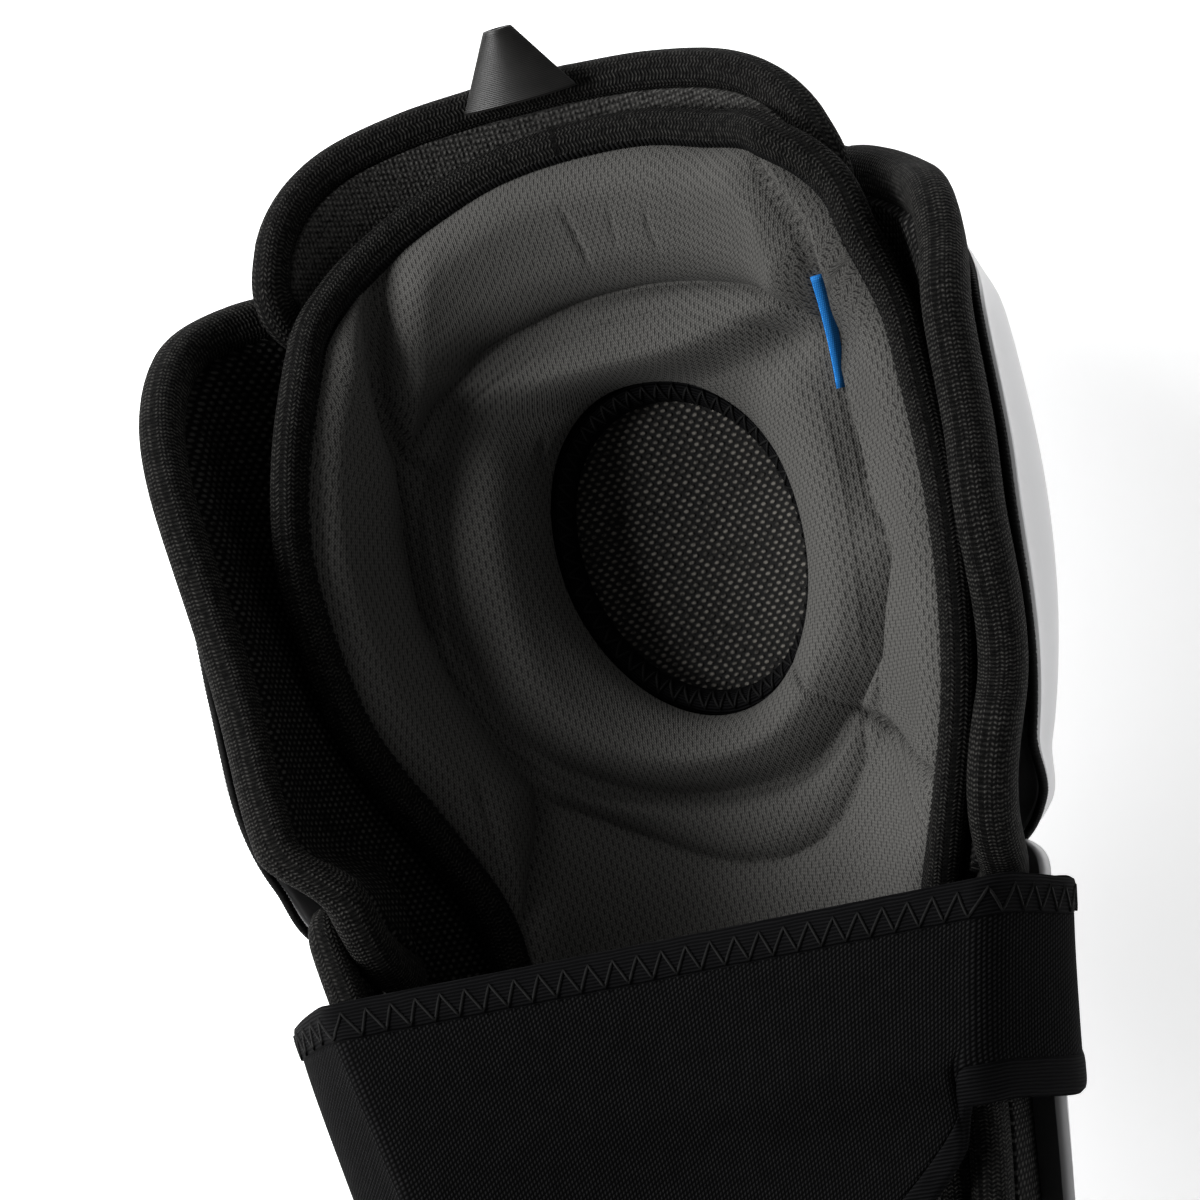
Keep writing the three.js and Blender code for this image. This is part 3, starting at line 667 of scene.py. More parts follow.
def grey_mesh():
    """Grey knit with staggered rows of short slits."""
    s = Shader("grey_mesh")
    across, along = s.cloth()
    pitch, period = 1.6, 3.5
    column = s.math("FLOOR", s.math("DIVIDE", across, pitch))
    odd = s.math("PINGPONG", column, 1.0)
    along_shifted = s.math("MULTIPLY_ADD", odd, period / 2, along)
    beside = s.math("ABSOLUTE", s.from_middle(across, pitch))
    within = s.math("ABSOLUTE", s.from_middle(along_shifted, period))
    slit = s.math("MULTIPLY", s.step(beside, 0.2, 0.07), s.step(within, 0.31, 0.2))
    rib = s.wave(across, pitch / 2)
    slant = s.math("MULTIPLY_ADD", s.math("PINGPONG", across, pitch / 4), 1.3, along)
    knit = s.wave(slant, 0.95)
    tone = s.math("MULTIPLY", s.math("MULTIPLY_ADD", knit, 0.5, 0.55), s.math("MULTIPLY_ADD", rib, 0.4, 0.7))
    patches = s.math("MULTIPLY_ADD", s.noise(30.0), 0.3, 0.85)
    grain = s.math("MULTIPLY_ADD", s.noise(900.0, 3.0), 0.5, 0.75)
    shade = s.math("MULTIPLY", s.math("MULTIPLY", tone, patches), grain)
    cloth = s.mix(shade, (0.006, 0.006, 0.0062), (0.1, 0.098, 0.0925))
    colour = s.mix(s.math("MULTIPLY", slit, 0.65), cloth, (0.003, 0.003, 0.0032))
    height = s.math("SUBTRACT", s.math("MULTIPLY_ADD", knit, 0.35, s.math("MULTIPLY", rib, 0.3)), slit)
    return s.finish(colour, 0.95, height, 0.00035, 0.6, sheen=0.02)


def knit_binding(name, strand, arm, slope, light):
    """Black knit tape whose strands make rows of chevrons."""
    s = Shader(name)
    along, around = s.cloth()
    chevron = s.math("MULTIPLY_ADD", s.math("PINGPONG", around, arm), slope, along)
    rows = s.math("POWER", s.wave(chevron, strand), 1.4)
    ridge = s.math("MULTIPLY_ADD", s.math("POWER", s.wave(around, arm), 0.7), 0.75, 0.25)
    shine = s.math("MULTIPLY", rows, ridge)
    uneven = s.math("MULTIPLY_ADD", s.step(s.noise(650.0, 3.0), 0.3, 0.7), 1.3, 0.25)
    tint = (light, light * 0.97, light * 0.9)
    colour = s.mix(s.math("MULTIPLY", shine, uneven), (0.0012, 0.0012, 0.0012), tint)
    return s.finish(colour, 0.85, shine, 0.0006, 0.9)


def dot_mesh(name, pitch, light, dark, bright=None):
    """Black spacer mesh with staggered raised knots, which may be brighter inside the knee hole."""
    s = Shader(name)
    across, along = s.cloth()
    row = s.math("FLOOR", s.math("DIVIDE", along, pitch * 0.55))
    odd = s.math("PINGPONG", row, 1.0)
    shifted = s.math("MULTIPLY_ADD", odd, pitch / 2, across)
    beside = s.from_middle(shifted, pitch)
    within = s.math("MULTIPLY", s.from_middle(along, pitch * 0.55), 0.8)
    distance = s.math("SQRT", s.math("MULTIPLY_ADD", beside, beside, s.math("MULTIPLY", within, within)))
    knot = s.step(distance, 0.4, 0.14)
    uneven = s.math("MULTIPLY_ADD", s.step(s.noise(600.0, 3.0), 0.3, 0.7), 1.2, 0.2)
    tint = (light, light * 0.98, light * 0.93)
    low = (dark, dark, dark)
    if bright:
        middle = s.math("SQRT", s.math("MULTIPLY_ADD", across, across, s.math("MULTIPLY", along, along)))
        inside = s.step(middle, 62, 54)
        tint = s.mix(inside, tint, (bright, bright * 0.94, bright * 0.84))
        low = s.mix(inside, low, (dark * 9, dark * 9, dark * 9))
    colour = s.mix(s.math("MULTIPLY", knot, uneven), low, tint)
    return s.finish(colour, 0.9, knot, 0.0008, 0.9)


def fuzzy_mesh():
    """Black coarse mesh with a fuzzy face."""
    s = Shader("guard_mesh")
    across, along = s.cloth()
    rows = s.math("MULTIPLY", s.wave(across, 1.5), s.wave(along, 1.3))
    tuft = s.step(s.noise(1100.0, 3.0), 0.3, 0.7)
    face = s.math("MULTIPLY_ADD", rows, 0.7, s.math("MULTIPLY", tuft, 0.45))
    colour = s.mix(face, (0.004, 0.004, 0.004), (0.085, 0.083, 0.079))
    return s.finish(colour, 0.95, face, 0.0006, 0.8)


def ribbed_elastic():
    """Black elastic with fine ribs along it."""
    s = Shader("ribbed_elastic")
    _, around = s.cloth()
    wander = s.math("MULTIPLY_ADD", s.noise(120.0), 0.7, around)
    rib = s.wave(wander, 0.85)
    uneven = s.math("MULTIPLY_ADD", s.noise(200.0), 0.9, 0.5)
    colour = s.mix(s.math("MULTIPLY", rib, uneven), (0.001, 0.001, 0.0012), (0.0065, 0.0065, 0.007))
    return s.finish(colour, 0.75, rib, 0.0003, 0.7, specular=0.03)


def stretch_cloth():
    """Black stretch knit with a fine slanting weave."""
    s = Shader("stretch_cloth")
    along, around = s.cloth()
    slanted = s.math("MULTIPLY_ADD", along, 0.55, around)
    column = s.wave(along, 0.95)
    stitch = s.wave(slanted, 1.15)
    weave = s.math("MULTIPLY", column, stitch)
    uneven = s.math("MULTIPLY_ADD", s.noise(300.0, 3.0), 1.2, 0.4)
    colour = s.mix(s.math("MULTIPLY", weave, uneven), (0.001, 0.001, 0.0011), (0.014, 0.014, 0.0145))
    return s.finish(colour, 0.8, weave, 0.0003, 0.6, specular=0.02)


def white_plastic():
    s = Shader("shell_plastic")
    scuff = s.step(s.noise(40.0, 6.0), 0.58, 0.75)
    colour = s.mix(scuff, (0.64, 0.64, 0.65), (0.59, 0.59, 0.605))
    return s.finish(colour, 0.38, s.noise(900.0, 2.0), 0.00005, 0.3, specular=0.5)


def loop_pile():
    s = Shader("loop_pile")
    fuzz = s.noise(900.0, 4.0)
    colour = s.mix(fuzz, (0.5, 0.5, 0.51), (0.78, 0.78, 0.79))
    return s.finish(colour, 1.0, fuzz, 0.001, 1.0, sheen=0.3)


def satin_ribbon():
    s = Shader("satin_ribbon")
    _, along = s.cloth()
    thread_rows = s.wave(along, 0.45)
    shade = s.math("MULTIPLY", thread_rows, s.noise(250.0))
    colour = s.mix(shade, (0.004, 0.0039, 0.0037), (0.022, 0.021, 0.02))
    return s.finish(colour, 0.38, thread_rows, 0.0001, 0.4, specular=0.3)


def blue_ribbon():
    s = Shader("blue_ribbon")
    across, along = s.cloth()
    weave = s.math("MULTIPLY", s.wave(across, 0.5), s.wave(along, 0.5))
    colour = s.mix(weave, (0.015, 0.16, 0.52), (0.05, 0.34, 0.85))
    return s.finish(colour, 0.5, weave, 0.0001, 0.4)


def sewing_thread():
    s = Shader("sewing_thread")
    colour = s.mix(s.noise(500.0), (0.0025, 0.0025, 0.0025), (0.012, 0.012, 0.012))
    return s.finish(colour, 0.6, specular=0.06)


MATERIALS = {
    "grey": grey_mesh(),
    "knit": knit_binding("knit_binding", 1.05, 1.15, 0.5, 0.036),
    "fine_knit": knit_binding("fine_knit", 1.05, 1.0, 0.3, 0.045),
    "mesh": dot_mesh("black_mesh", 2.7, 0.04, 0.0014, bright=0.15),
    "guard_mesh": fuzzy_mesh(),
    "elastic": ribbed_elastic(),
    "stretch": stretch_cloth(),
    "plastic": white_plastic(),
    "pile": loop_pile(),
    "satin": satin_ribbon(),
    "blue": blue_ribbon(),
    "thread": sewing_thread(),
}


# Foam cradles, thigh guard and shells


def knee_cradle():
    def place(share, across, along, far):
        depth = CRADLE_FAR if far else EDGE_TUCK * smooth(np.abs(share), 0.94, 1)
        depth = depth - tip_lean(across, along) + wing_splay(across, along)
        return layer(reached(across, along), along - corner_dip(across, along), depth)

    body = sheet_body(KNEE_CRADLE_EDGE, 110, 160, place)
    return new_piece("knee_cradle_pad", *body, ["knee_cradle"], "black_mesh", MATERIALS["mesh"])


def shin_cradle():
    body = sheet_body(
        SHIN_CRADLE_EDGE, 120, 140,
        lambda share, across, along, far: layer(
            reached(across, along),
            along - shin_dip(across, along),
            np.full(across.shape, CRADLE_FAR if far else 0.0),
        ),
    )
    return new_piece("shin_cradle_pad", *body, ["shin_cradle"], "black_mesh", MATERIALS["mesh"])


def thigh_guard():
    body = sheet_body(
        THIGH_GUARD_EDGE, 60, 120,
        lambda share, across, along, far: layer(
            across + THIGH_SHIFT, along, np.full(across.shape, THIGH_FAR if far else THIGH_NEAR)
        ),
    )
    return new_piece("thigh_guard_pad", *body, ["thigh_guard"], "black_mesh", MATERIALS["guard_mesh"])


def knee_spread(share, across, along):
    """How far the knee shell stands off: its lip, the left side's flare and a bulge under the rim."""
    aside, beside = np.abs(share), np.abs(across)
    bulge = smooth(aside, 0.5, 0.78) * (1 - smooth(aside, 0.84, 1)) * smooth(beside, 60, 90)
    flare = smooth(-across, *SHELL_FLARE_ACROSS) * smooth(along, *KNEE_FLARE_ALONG)
    return knee_lip(along) + wing_splay(across, along) + KNEE_FLARE * flare + SHELL_BULGE * bulge


def shin_spread(share, across, along):
    return shell_flare(across)


def shell(name, edge, spread):
    def place(share, across, along, far):
        depth = (SHELL_FAR if far else SHELL_NEAR) + spread(share, across, along)
        points = layer(reached(across, along), along - corner_dip(across, along), depth)
        points[..., 2] = np.maximum(points[..., 2], 0)
        return points

    body = sheet_body(edge, 120, 140, place)
    return new_piece(name + "_cap", *body, [name], "shell_plastic", MATERIALS["plastic"])


# Rolled bindings


def tape_body(path, tape, closed=False):
    """Folded tape round an edge."""
    across, along, out, inward = path
    wide, high, shift, away = TAPES[tape]
    up = outward(across, along)
    up = unit(up - inward * (up * inward).sum(-1, keepdims=True))
    centres = layer(across, along, out) + inward * shift + up * away
    return tube(centres, -inward, up, wide, high, 32, closed, TAPE_SQUARE)


def roll_piece(node, path, tape, closed=False):
    body = tape_body(path, tape, closed)
    material = MATERIALS["fine_knit" if tape.endswith("wing") else "knit"]
    return new_piece(node + "_tape", *body, [node], "knit_binding", material)


def cradle_middle(across, along):
    return CRADLE_FAR / 2 - tip_lean(across, along) + wing_splay(across, along)


def calf_middle(across, along):
    return np.full(np.shape(across), CRADLE_FAR / 2)


def guard_middle(across, along):
    return np.full(np.shape(across), (THIGH_NEAR + THIGH_FAR) / 2)


RIGHT_WING = fine_edge(KNEE_CRADLE_EDGE, corner_dip)
RIGHT_CALF = fine_edge(SHIN_CRADLE_EDGE, shin_dip)
RIGHT_SHELL = fine_edge(KNEE_SHELL_EDGE, corner_dip)
CALF_PATHS = {
    "right": beside_edge(RIGHT_CALF, 1, 200, CALF_ROLL, calf_middle),
    "left": beside_edge(SHIN_CRADLE_EDGE, -1, 200, CALF_ROLL, calf_middle),
}


def cradle_bindings():
    right = beside_edge(RIGHT_WING, 1, 240, WING_ROLL, cradle_middle)
    left = beside_edge(KNEE_CRADLE_EDGE, -1, 240, WING_ROLL, cradle_middle)
    pieces = [
        roll_piece("wing_binding_right", right, "right_wing"),
        roll_piece("wing_binding_left", left, "left_wing"),
    ]
    for side, path in CALF_PATHS.items():
        pieces.append(roll_piece("calf_binding_" + side, path, "calf"))
    return pieces


def shell_cord(side, edge):
    """Twisted cord along one side of the knee shell's rim."""
    path = beside_edge(
        edge, side, 200, CORD["radius"], lambda across, along: CORD["out"] + knee_spread(1.0, across, along)
    )
    across, along, out, inward = path
    line = layer(across, along, out)
    fine = np.linspace(0, 1, 1500)
    length = lengths_along(line)
    centres, aside = (
        np.stack([np.interp(fine * length[-1], length, part) for part in rows.T], -1)
        for rows in (line, inward)
    )
    aside = unit(aside)
    up = unit(np.cross(aside, np.gradient(centres, axis=0)))
    turn = (2 * math.pi * fine * length[-1] / CORD["pitch"])[:, None]
    strands = []
    for start in (0, math.pi):
        round_way = aside * np.cos(turn + start) + up * np.sin(turn + start)
        wound = centres + round_way * CORD["radius"] * CORD["twist"]
        strands.append(thread(wound, CORD["radius"] * (1 - CORD["twist"])))
    name = "shell_cord_right" if side > 0 else "shell_cord_left"
    return new_piece(name, *pieced(strands), [], "knit_binding", MATERIALS["thread"])


def thigh_binding():
    right = beside_edge(THIGH_GUARD_EDGE, 1, 120, THIGH_ROLL, guard_middle)
    left = beside_edge(THIGH_GUARD_EDGE, -1, 120, THIGH_ROLL, guard_middle)
    across, along, out, inward = (np.concatenate([r, l[::-1]]) for r, l in zip(right, left))
    return roll_piece("thigh_binding", (across + THIGH_SHIFT, along, out, inward), "thigh")


# Liner


def closed_outline(table):
    right = [(r, along) for along, l, r in table]
    left = [(-l, along) for along, l, r in table[1:-1]]
    return np.array(right + left[::-1], float)


def ellipse(shape, turns):
    power = 2 / shape["square"]
    across, along = (np.sign(part) * np.abs(part) ** power for part in (np.cos(turns), np.sin(turns)))
    across, along = shape["half_across"] * across, shape["half_along"] * along
    c, s = math.cos(shape["lean"]), math.sin(shape["lean"])
    return np.stack([across * c - along * s + shape["across"], across * s + along * c + shape["along"]], -1)


def reach_to(curve, direction):
    """Distances from the knee's middle to a closed curve, in each direction."""
    aside = direction[:, None, 0] * curve[None, :, 1] - direction[:, None, 1] * curve[None, :, 0]
    after = np.roll(aside, -1, axis=1)
    crosses = (aside >= 0) != (after >= 0)
    share = np.where(crosses, aside / np.where(crosses, aside - after, 1), 0)
    point = curve[None] + (np.roll(curve, -1, axis=0) - curve)[None] * share[..., None]
    distance = (point * direction[:, None]).sum(-1)
    return np.where(crosses, distance, 0).max(1)


FULL_TURN = np.linspace(0, 2 * math.pi, 192, endpoint=False)
LINER_CURVES = [
    ellipse(KNEE_HOLE, FULL_TURN),
    ellipse(KNEE_RING, FULL_TURN),
    flowing(closed_outline(LINER_MIDDLE), np.linspace(0, 1, 480, endpoint=False), True),
    flowing(closed_outline(LINER_OUTLINE), np.linspace(0, 1, 480, endpoint=False), True),
]


def liner_padding(way, direction_across, direction_along):
    padding, crown, right = cubic(LINER_PROFILE, way)
    padding = blend(padding, right, smooth(direction_across, *RIGHT_SIDE))
    return blend(padding, crown, smooth(direction_along, *CROWN))


def liner_place(way, direction, reaches):
    """Across and along at ways out from the knee hole, in each direction."""
    zone = np.minimum(way.astype(int), 2)
    start, end = reaches[zone], reaches[zone + 1]
    distance = blend(start, end, (way - zone)[:, None])
    return direction[None, :, 0] * distance, direction[None, :, 1] * distance


def nearest_on(line, points):
    """For each point the distance to a line, and the place of the nearest point as a length along it."""
    start, step = line[:-1], np.diff(line, axis=0)
    length = np.maximum(np.linalg.norm(step, axis=-1), 1e-6)
    offset = points[:, None] - start
    share = np.clip((offset * step).sum(-1) / length**2, 0, 1)
    distance = np.linalg.norm(offset - step * share[..., None], axis=-1)
    row, nearest = np.arange(len(points)), distance.argmin(1)
    place = (np.cumsum(length) - length)[nearest] + share[row, nearest] * length[nearest]
    return distance[row, nearest], place


def encloses(outline, points):
    """Whether a closed outline goes round each point."""
    start, end = outline[:-1], outline[1:]
    x, y = points[:, :1], points[:, 1:]
    between = (start[:, 1] > y) != (end[:, 1] > y)
    rise = np.where(end[:, 1] == start[:, 1], 1, end[:, 1] - start[:, 1])
    beyond = x < start[:, 0] + (y - start[:, 1]) / rise * (end[:, 0] - start[:, 0])
    return (between & beyond).sum(1) % 2 == 1


def stuffed(distance, width):
    """Share of a panel's fullness at a distance from its seam, round as a cushion's edge."""
    from_full = 1 - np.clip(distance / width, 0, 1)
    return np.sqrt(1 - from_full**2)


def fine_line(places):
    return flowing(np.array(places, float), np.linspace(0, 1, 6 * len(places)), False)


def panel(*parts):
    """Closed outline of a panel from its seams and the places where it passes under the binding."""
    outline = np.concatenate([np.asarray(part, float) for part in parts])
    return np.concatenate([outline, outline[:1]])


def liner_panels():
    """Fullness, width of the rounded edge and outline of each panel."""
    step, side, fold, ring, crescent, lap, soft, slant, crease = (
        fine_line(seam)
        for seam in (STEP, WALL_SIDE, FOLD, RING_EDGE, CRESCENT, LAP, SOFT_FOLD, SLANT, LEFT_CREASE)
    )
    lap_middle = len(lap) * 4 // 10
    under = lap + LAP_OVER
    return [
        (9, 11, panel(side, step, under[lap_middle:], [(40, 125), (-40, 125)])),
        (5, 9, panel(step, under[lap_middle::-1], soft, ring[::-1])),
        (8, 13, panel(fold, crease, [(-95, -100), (-145, -20), (-145, 60), (-100, 110)])),
        (3.5, 8, panel(ring[len(ring) * 5 // 11:], soft[-1:], crescent[::-1])),
        (5.5, 4, panel(soft[::-1], lap, [(95, 120), (135, 70), (135, -50), (118, -90)], slant[::-1])),
        (4, 10, panel(crescent, slant, [(120, -100), (80, -380), (-80, -380), (-100, -110)], crease[::-1])),
    ]


def liner_relief(across, along, from_rim):
    """Height that the liner's panels, seams and creases add to its padding."""
    places = np.stack([across, along], -1).reshape(-1, 2)
    full, dip = np.zeros(len(places)), np.zeros(len(places))
    for rise, width, outline in liner_panels():
        low, high = outline.min(0), outline.max(0)
        near = np.flatnonzero(np.all((places > low) & (places < high), axis=-1))
        near = near[encloses(outline, places[near])]
        distance, _ = nearest_on(outline, places[near])
        full[near] = rise * stuffed(np.hypot(distance, SEAM_ROUND) - SEAM_ROUND, width)
    for depth, width, path in LINER_CREASES:
        line = fine_line(path)
        low, high = line.min(0) - width, line.max(0) + width
        near = np.flatnonzero(np.all((places > low) & (places < high), axis=-1))
        distance, place = nearest_on(line, places[near])
        length = lengths_along(line)[-1]
        fade = min(SEAM_FADE, length / 2.5)
        shown = smooth(place, 0, fade) * smooth(length - place, 0, fade)
        dip[near] = np.maximum(dip[near], shown * depth * (1 - stuffed(distance, width)))
    return full.reshape(across.shape) * stuffed(from_rim, RIM_ROUND) - dip.reshape(across.shape)


def liner():
    turns = np.linspace(0, 2 * math.pi, LINER_SPOKES, endpoint=False)
    direction = np.stack([np.sin(turns), np.cos(turns)], -1)
    reaches = np.stack([reach_to(curve, direction) for curve in LINER_CURVES])
    ring, step, panels = (np.linspace(0, 1, LINER_ROWS[zone]) for zone in ("ring", "step", "panels"))
    ways = np.concatenate([ring[:-1], 1 + step[:-1], 2 + panels**1.4])
    across, along = liner_place(ways, direction, reaches)
    padding = liner_padding(*(np.broadcast_to(part, across.shape) for part in (ways[:, None], *direction.T)))
    from_rim = reaches[3] - np.hypot(across, along)
    padding = np.maximum(padding + liner_relief(across, along, from_rim), LEAST_PADDING)
    front = layer(across, along, -liner_back(across, along) - padding)
    back_ways = np.linspace(3, 0, LINER_ROWS["back"])
    back_across, back_along = liner_place(back_ways, direction, reaches)
    back = layer(back_across, back_along, -liner_back(back_across, back_along))
    loops = np.concatenate([front, back]).transpose(1, 0, 2)
    walked = np.cumsum(np.linalg.norm(np.diff(front, axis=0), axis=-1), axis=0)
    walked = reaches[0] + np.concatenate([np.zeros((1, LINER_SPOKES)), walked])
    cloth = np.concatenate([walked[..., None] * direction, np.stack([back_across, back_along], -1)])
    body = loft(loops, cloth.transpose(1, 0, 2), True)
    return new_piece("liner_pad", *body, ["liner"], "grey_mesh", MATERIALS["grey"])


def liner_edge():
    """Path of the binding round the liner."""
    rim = flowing(closed_outline(LINER_OUTLINE), np.linspace(0, 1, 540, endpoint=False), True)
    ahead = unit(np.roll(rim, -1, axis=0) - np.roll(rim, 1, axis=0))
    return pushed_out(
        rim[:, 0], rim[:, 1], -ahead[:, 1], ahead[:, 0], LINER_ROLL,
        lambda across, along: LINER_ROLL_SINK - liner_back(across, along) - LINER_ROLL,
    )


def zigzag(count, steps):
    """Ways 0 to 1 along a row of zigzag stitches, and the side of the row, 0 to 1, at each."""
    way = np.linspace(0, 1, count * steps, endpoint=False)
    return way, np.abs((way * count) % 2 - 1)


def liner_stitches():
    """Slanting stitches over the inner edge of the liner's binding."""
    across, along, out, inward = liner_edge()
    wide, high, shift, _ = TAPES["liner"]
    away = outward(across, along)
    centres = layer(across, along, out) + inward * shift
    over = [(0.42, 0.93), (0.75, 0.82), (0.98, 0.5), (1.1, 0.08)]
    rows = [centres + inward * (wide * side) - away * (high * up) for side, up in over]
    slant = [0, 0.25, 0.7, 1]
    rows = [blend(row, np.roll(row, -1, axis=0), share) for row, share in zip(rows, slant)]
    stitches = [thread(points, EDGE_THREAD) for points in np.stack(rows, 1)]
    return new_piece("liner_edge_stitches", *pieced(stitches), [], "knit_binding", MATERIALS["thread"])


def hole_stitches():
    way, side = zigzag(HOLE_STITCHES["count"], 6)
    edge = ellipse(KNEE_HOLE, 2 * math.pi * way)
    inset = blend(HOLE_STITCHES["inner"], HOLE_STITCHES["outer"], side)
    place = edge - unit(edge) * inset[:, None]
    height = np.interp(inset, *np.array(HOLE_BAND_TOP).T) + HOLE_STITCHES["lift"]
    body = thread(layer(*place.T, -height), STITCH_THREAD, closed=True)
    return new_piece("knee_hole_stitches", *body, [], "black_elastic", MATERIALS["thread"])


def hole_band():
    turns = np.linspace(0, 2 * math.pi, 160, endpoint=False)
    edge = ellipse(KNEE_HOLE, turns)
    direction = unit(edge)
    profile = flowing(np.array(HOLE_BAND), np.linspace(0, 1, 30, endpoint=False), True)
    place = edge[:, None] - direction[:, None] * profile[None, :, :1]
    height = np.broadcast_to(profile[None, :, 1], place.shape[:2])
    loops = layer(place[..., 0], place[..., 1], -height)
    around = lengths_along(profile)
    length = lengths_along(edge)
    cloth = np.stack(np.broadcast_arrays(length[:, None], around[None, :]), -1)
    body = loft(loops, cloth, True)
    return new_piece("knee_hole_band", *body, ["knee_hole_binding"], "black_elastic", MATERIALS["elastic"])


# Calf strap


def calf_reach(side, along):
    across, path_along = CALF_PATHS[side][:2]
    level = min(along, STRAP_RIM_TOP[side])
    return np.interp(-level, -path_along, across)


def strap_path(along):
    """Leg side of the strap at one place along the leg, from its right end to its left end."""

    def side(name, end):
        rim = calf_reach(name, along)
        centre = layer(rim, along, CRADLE_FAR / 2)
        turns = np.radians(STRAP_RIM_TURNS)
        around = np.stack([np.sign(rim) * np.cos(turns), np.zeros(len(turns)), np.sin(turns)], -1)
        across = blend(end, rim, np.array(STRAP_SIDE_SHARES))
        outside = layer(across, np.full(len(across), float(along)), STRAP_OUT + shell_flare(across))
        return np.concatenate([outside, centre + around * (CALF_ROLL + STRAP_CLEAR[name])])

    right, left = side("right", STRAP_END_RIGHT), side("left", STRAP_END_LEFT)
    middle = (right[-1] + left[-1]) / 2 - np.array([0, 0, STRAP_SAG])
    return np.concatenate([right, middle[None], left[::-1]])


STRAP_WAYS = np.linspace(0, 1, 220)
STRAP_LEVELS = np.arange(STRAP_BOTTOM - 14, STRAP_TOP + 14, 2.0)
STRAP_LINES = np.stack([flowing(strap_path(level), STRAP_WAYS, False) for level in STRAP_LEVELS])


def strap_at(way, along):
    """Points on the strap's leg side at ways along it and places along the leg."""
    level = (along - STRAP_LEVELS[0]) / (STRAP_LEVELS[1] - STRAP_LEVELS[0])
    lower = np.clip(level.astype(int), 0, len(STRAP_LEVELS) - 2)
    place = way * (len(STRAP_WAYS) - 1)
    first = np.clip(place.astype(int), 0, len(STRAP_WAYS) - 2)
    share = (place - first)[:, None]
    rows = [blend(STRAP_LINES[row, first], STRAP_LINES[row, first + 1], share) for row in (lower, lower + 1)]
    return blend(*rows, (level - lower)[:, None])


def strap_surface(along):
    return strap_at(STRAP_WAYS, along)


def strap_away(ahead):
    """Directions away from the leg, from the directions along the strap."""
    return unit(np.stack([ahead[..., 2], np.zeros(ahead.shape[:-1]), -ahead[..., 0]], -1))


def strap_bottom():
    return blend(STRAP_BOTTOM_RIGHT, STRAP_BOTTOM, smooth(STRAP_WAYS, *STRAP_RISE))


def strap_body(alongs, near, far):
    """Band of the strap through several places along the leg, with its near and far depths at each."""
    lines = np.stack([strap_surface(along) for along in alongs], axis=1)
    away = strap_away(np.gradient(lines, axis=0))
    near_side = lines + away * np.asarray(near)[None, :, None]
    far_side = lines + away * np.asarray(far)[None, :, None]
    length = lengths_along(lines[:, 0])
    cloth = np.stack([np.broadcast_to(length[:, None], lines.shape[:2]), np.stack(alongs, 1)], -1)
    loops = np.concatenate([near_side, far_side[:, ::-1]], axis=1)
    return loft(loops, np.concatenate([cloth, cloth[:, ::-1]], axis=1), False)


def calf_strap():
    shares = np.linspace(0, 1, 48)
    alongs = [blend(STRAP_TOP + 1.2, strap_bottom() - 1.2, share) for share in shares]
    near = np.full(48, STRAP_LIFT)
    body = strap_body(alongs, near, near + STRAP_THICKNESS)
    return new_piece("calf_strap_cloth", *body, ["calf_strap"], "stretch_cloth", MATERIALS["stretch"])


def strap_binding(node, edge, direction):
    """Band beside the strap's upper or lower edge."""
    columns = 12
    shares = np.linspace(-0.03, 1, columns)
    alongs = [edge + direction * STRAP_EDGE_WIDTH * share for share in shares]
    bulge = np.sqrt(np.clip(1 - (2 * np.linspace(0, 1, columns) - 1) ** 4, 0, 1))
    middle = STRAP_EDGE_THICKNESS / 2
    body = strap_body(alongs, middle - middle * bulge, middle + middle * bulge)
    return new_piece(node + "_elastic", *body, [node], "black_elastic", MATERIALS["elastic"])


def strap_stitches():
    """Zigzag stitches along the strap's upper band."""
    line = strap_surface(np.full(len(STRAP_WAYS), float(STRAP_TOP)))
    length = lengths_along(line)
    share, side = zigzag(int(length[-1] / STRAP_STITCHES["length"]), 6)
    way = np.interp(share * length[-1], length, STRAP_WAYS)
    along = STRAP_TOP + STRAP_EDGE_WIDTH * blend(STRAP_STITCHES["low"], STRAP_STITCHES["high"], side)
    points = strap_at(way, along)
    away = strap_away(np.gradient(strap_at(way, np.full(len(way), float(STRAP_TOP))), axis=0))
    body = thread(points + away * STRAP_EDGE_THICKNESS, STITCH_THREAD)
    return new_piece("strap_stitches", *body, [], "black_elastic", MATERIALS["thread"])


# Small pieces


def patch():
    across = np.linspace(*PATCH_ACROSS, 30)[None, :]
    along = np.linspace(*PATCH_ALONG, 60)[:, None]
    across, along = np.broadcast_arrays(across, along)
    near = layer(across, along, PATCH_NEAR + shell_flare(across))
    far = layer(across, along, PATCH_FAR + shell_flare(across))
    cloth = np.stack([across, along], -1)
    loops = np.concatenate([near, far[:, ::-1]], axis=1)
    body = loft(loops, np.concatenate([cloth, cloth[:, ::-1]], axis=1), False)
    return new_piece("loop_patch", *body, ["fastening_patch"], "loop_pile", MATERIALS["pile"])


def liner_front(across, along):
    """Height of the liner's leg side over the cradle, without its seams."""
    direction = unit(np.array([[across, along]], float))
    reaches = [reach_to(curve, direction)[0] for curve in LINER_CURVES]
    distance = math.hypot(across, along)
    zone = min(max(sum(reach <= distance for reach in reaches) - 1, 0), 2)
    way = zone + (distance - reaches[zone]) / (reaches[zone + 1] - reaches[zone])
    return liner_back(across, along) + liner_padding(np.array(way), *direction[0])


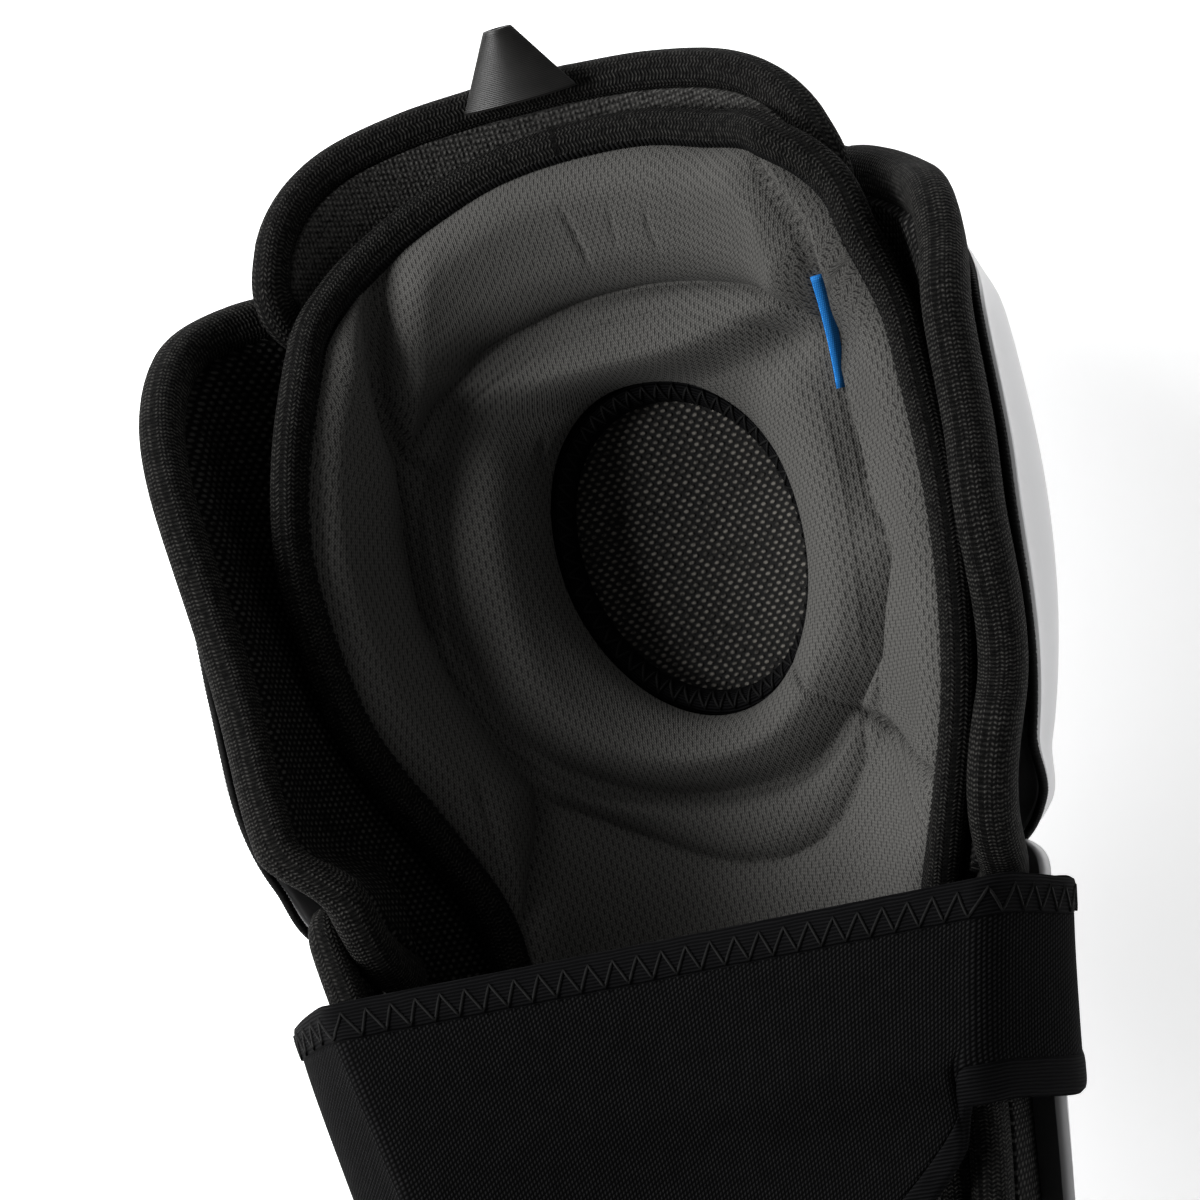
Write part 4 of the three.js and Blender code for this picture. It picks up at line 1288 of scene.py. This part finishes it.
def side_tag():
    share = np.linspace(0, 1, 20)
    along = blend(TAG["from"], TAG["to"], share)
    across = blend(TAG["from_across"], TAG["to_across"], share)
    ends = [liner_front(across[end], along[end]) for end in (0, -1)]
    bottom = blend(*ends, share) + TAG_RISE["lift"] - 2
    top = bottom + blend(TAG_RISE["low"], TAG_RISE["high"], share) + 2
    thick = TAG_RISE["thickness"]
    corners = [(0, bottom), (thick, bottom), (thick, top), (0, top)]
    loops = np.stack([layer(across + aside, along, -height) for aside, height in corners], 1)
    cloth = np.stack([np.stack([height, along], -1) for aside, height in corners], 1)
    body = loft(loops, cloth, False)
    return new_piece("side_ribbon", *body, ["side_tag"], "blue_ribbon", MATERIALS["blue"])


def pull_tab():
    at = np.array(TAB["across"], float), np.array(TAB["along"], float)
    foot = layer(*at, np.array(TAB["out"], float))
    towards = -outward(*at)
    aside = np.array([1.0, 0, 0])
    up = unit(np.cross(towards, aside))
    turn = np.linspace(0, 2 * math.pi, 72, endpoint=False)
    bow = np.sign(np.sin(turn)) * np.abs(np.sin(turn)) ** 1.6
    rows = []
    for share in np.linspace(0, 1, 24):
        half, depth = blend(TAB["base"], TAB["top"], share), blend(TAB_BASE_DEPTH, TAB_TOP_DEPTH, share)
        rows.append((half, depth, share * TAB["height"]))
    rows += [(half - 0.6, depth - 0.6, height) for half, depth, height in reversed(rows)]
    loops = np.stack(
        [
            foot + aside * (half * np.cos(turn))[:, None] + towards * (depth * bow)[:, None] + up * height
            for half, depth, height in rows
        ],
        1,
    )
    heights = np.array([height for _, _, height in rows])
    cloth = np.stack(np.broadcast_arrays((turn * TAB["base"])[:, None], heights[None]), -1)
    body = loft(loops, cloth, True)
    return new_piece("pull_ribbon", *body, ["pull_tab"], "satin_ribbon", MATERIALS["satin"])


# Floor, light and camera


def floor():
    bpy.ops.mesh.primitive_plane_add(size=12, location=(0, 0, -0.0002))
    plane = bpy.context.object
    plane.name = "floor"
    s = Shader("floor_paper")
    colour = s.mix(s.noise(2.0), (0.9, 0.9, 0.9), (0.92, 0.92, 0.92))
    plane.data.materials.append(s.finish(colour, 0.9))
    s.surface.inputs["Emission Color"].default_value = (1, 1, 1, 1)
    s.surface.inputs["Emission Strength"].default_value = FLOOR_GLOW


def area_light(name, place, size, power):
    light = bpy.data.lights.new(name, "AREA")
    light.energy = power
    light.size = size
    lamp = bpy.data.objects.new(name, light)
    lamp.location = place
    lamp.rotation_euler = (-Vector(place)).to_track_quat("-Z", "Y").to_euler()
    bpy.context.scene.collection.objects.link(lamp)


def studio():
    scene = bpy.context.scene
    world = bpy.data.worlds.new("studio")
    world.use_nodes = True
    world.node_tree.nodes["Background"].inputs[0].default_value = (1, 1, 1, 1)
    world.node_tree.nodes["Background"].inputs[1].default_value = ROOM_LIGHT
    scene.world = world
    scene.view_settings.view_transform = "Standard"
    for light in LAMPS:
        area_light(*light)


def camera():
    a, b, r = (math.radians(x) for x in (CAMERA_SIDE, CAMERA_FOOT, CAMERA_ROLL))
    back = np.array([math.sin(a) * math.cos(b), -math.sin(b), math.cos(a) * math.cos(b)])
    right = unit(np.cross([0, 1, 0], back))
    up = np.cross(back, right)
    up = right * math.sin(r) + up * math.cos(r)
    eye = CAMERA_KNEE + back * CAMERA_DISTANCE
    back = unit(eye - CAMERA_AIM)
    right = unit(np.cross(up, back))
    up = np.cross(back, right)
    data = bpy.data.cameras.new("camera")
    data.lens = CAMERA_LENS
    data.sensor_width = 36
    cam = bpy.data.objects.new("camera", data)
    turn = Matrix(np.stack([right, up, back], 1).tolist()).to_4x4()
    cam.matrix_world = Matrix.Translation(Vector((eye + KNEE_MIDDLE) * MM)) @ turn
    bpy.context.scene.collection.objects.link(cam)
    bpy.context.scene.camera = cam


camera()
studio()
floor()
knee_pad = knee_cradle()
shin_pad = shin_cradle()
guard_pad = thigh_guard()
shell("knee_shell", KNEE_SHELL_EDGE, knee_spread)
shell("shin_shell", SHIN_SHELL_EDGE, shin_spread)
shell_cord(1, RIGHT_SHELL)
shell_cord(-1, KNEE_SHELL_EDGE)
rolls = cradle_bindings() + [thigh_binding(), roll_piece("liner_binding", liner_edge(), "liner", closed=True)]
liner_pad = liner()
liner_stitches()
hole_band()
hole_stitches()
strap = calf_strap()
strap_edges = [
    strap_binding("strap_binding_top", np.full(len(STRAP_WAYS), STRAP_TOP + 0.9), 1),
    strap_binding("strap_binding_bottom", strap_bottom() - 0.9, -1),
    strap_stitches(),
]
loop_patch = patch()
tag = side_tag()
tab = pull_tab()
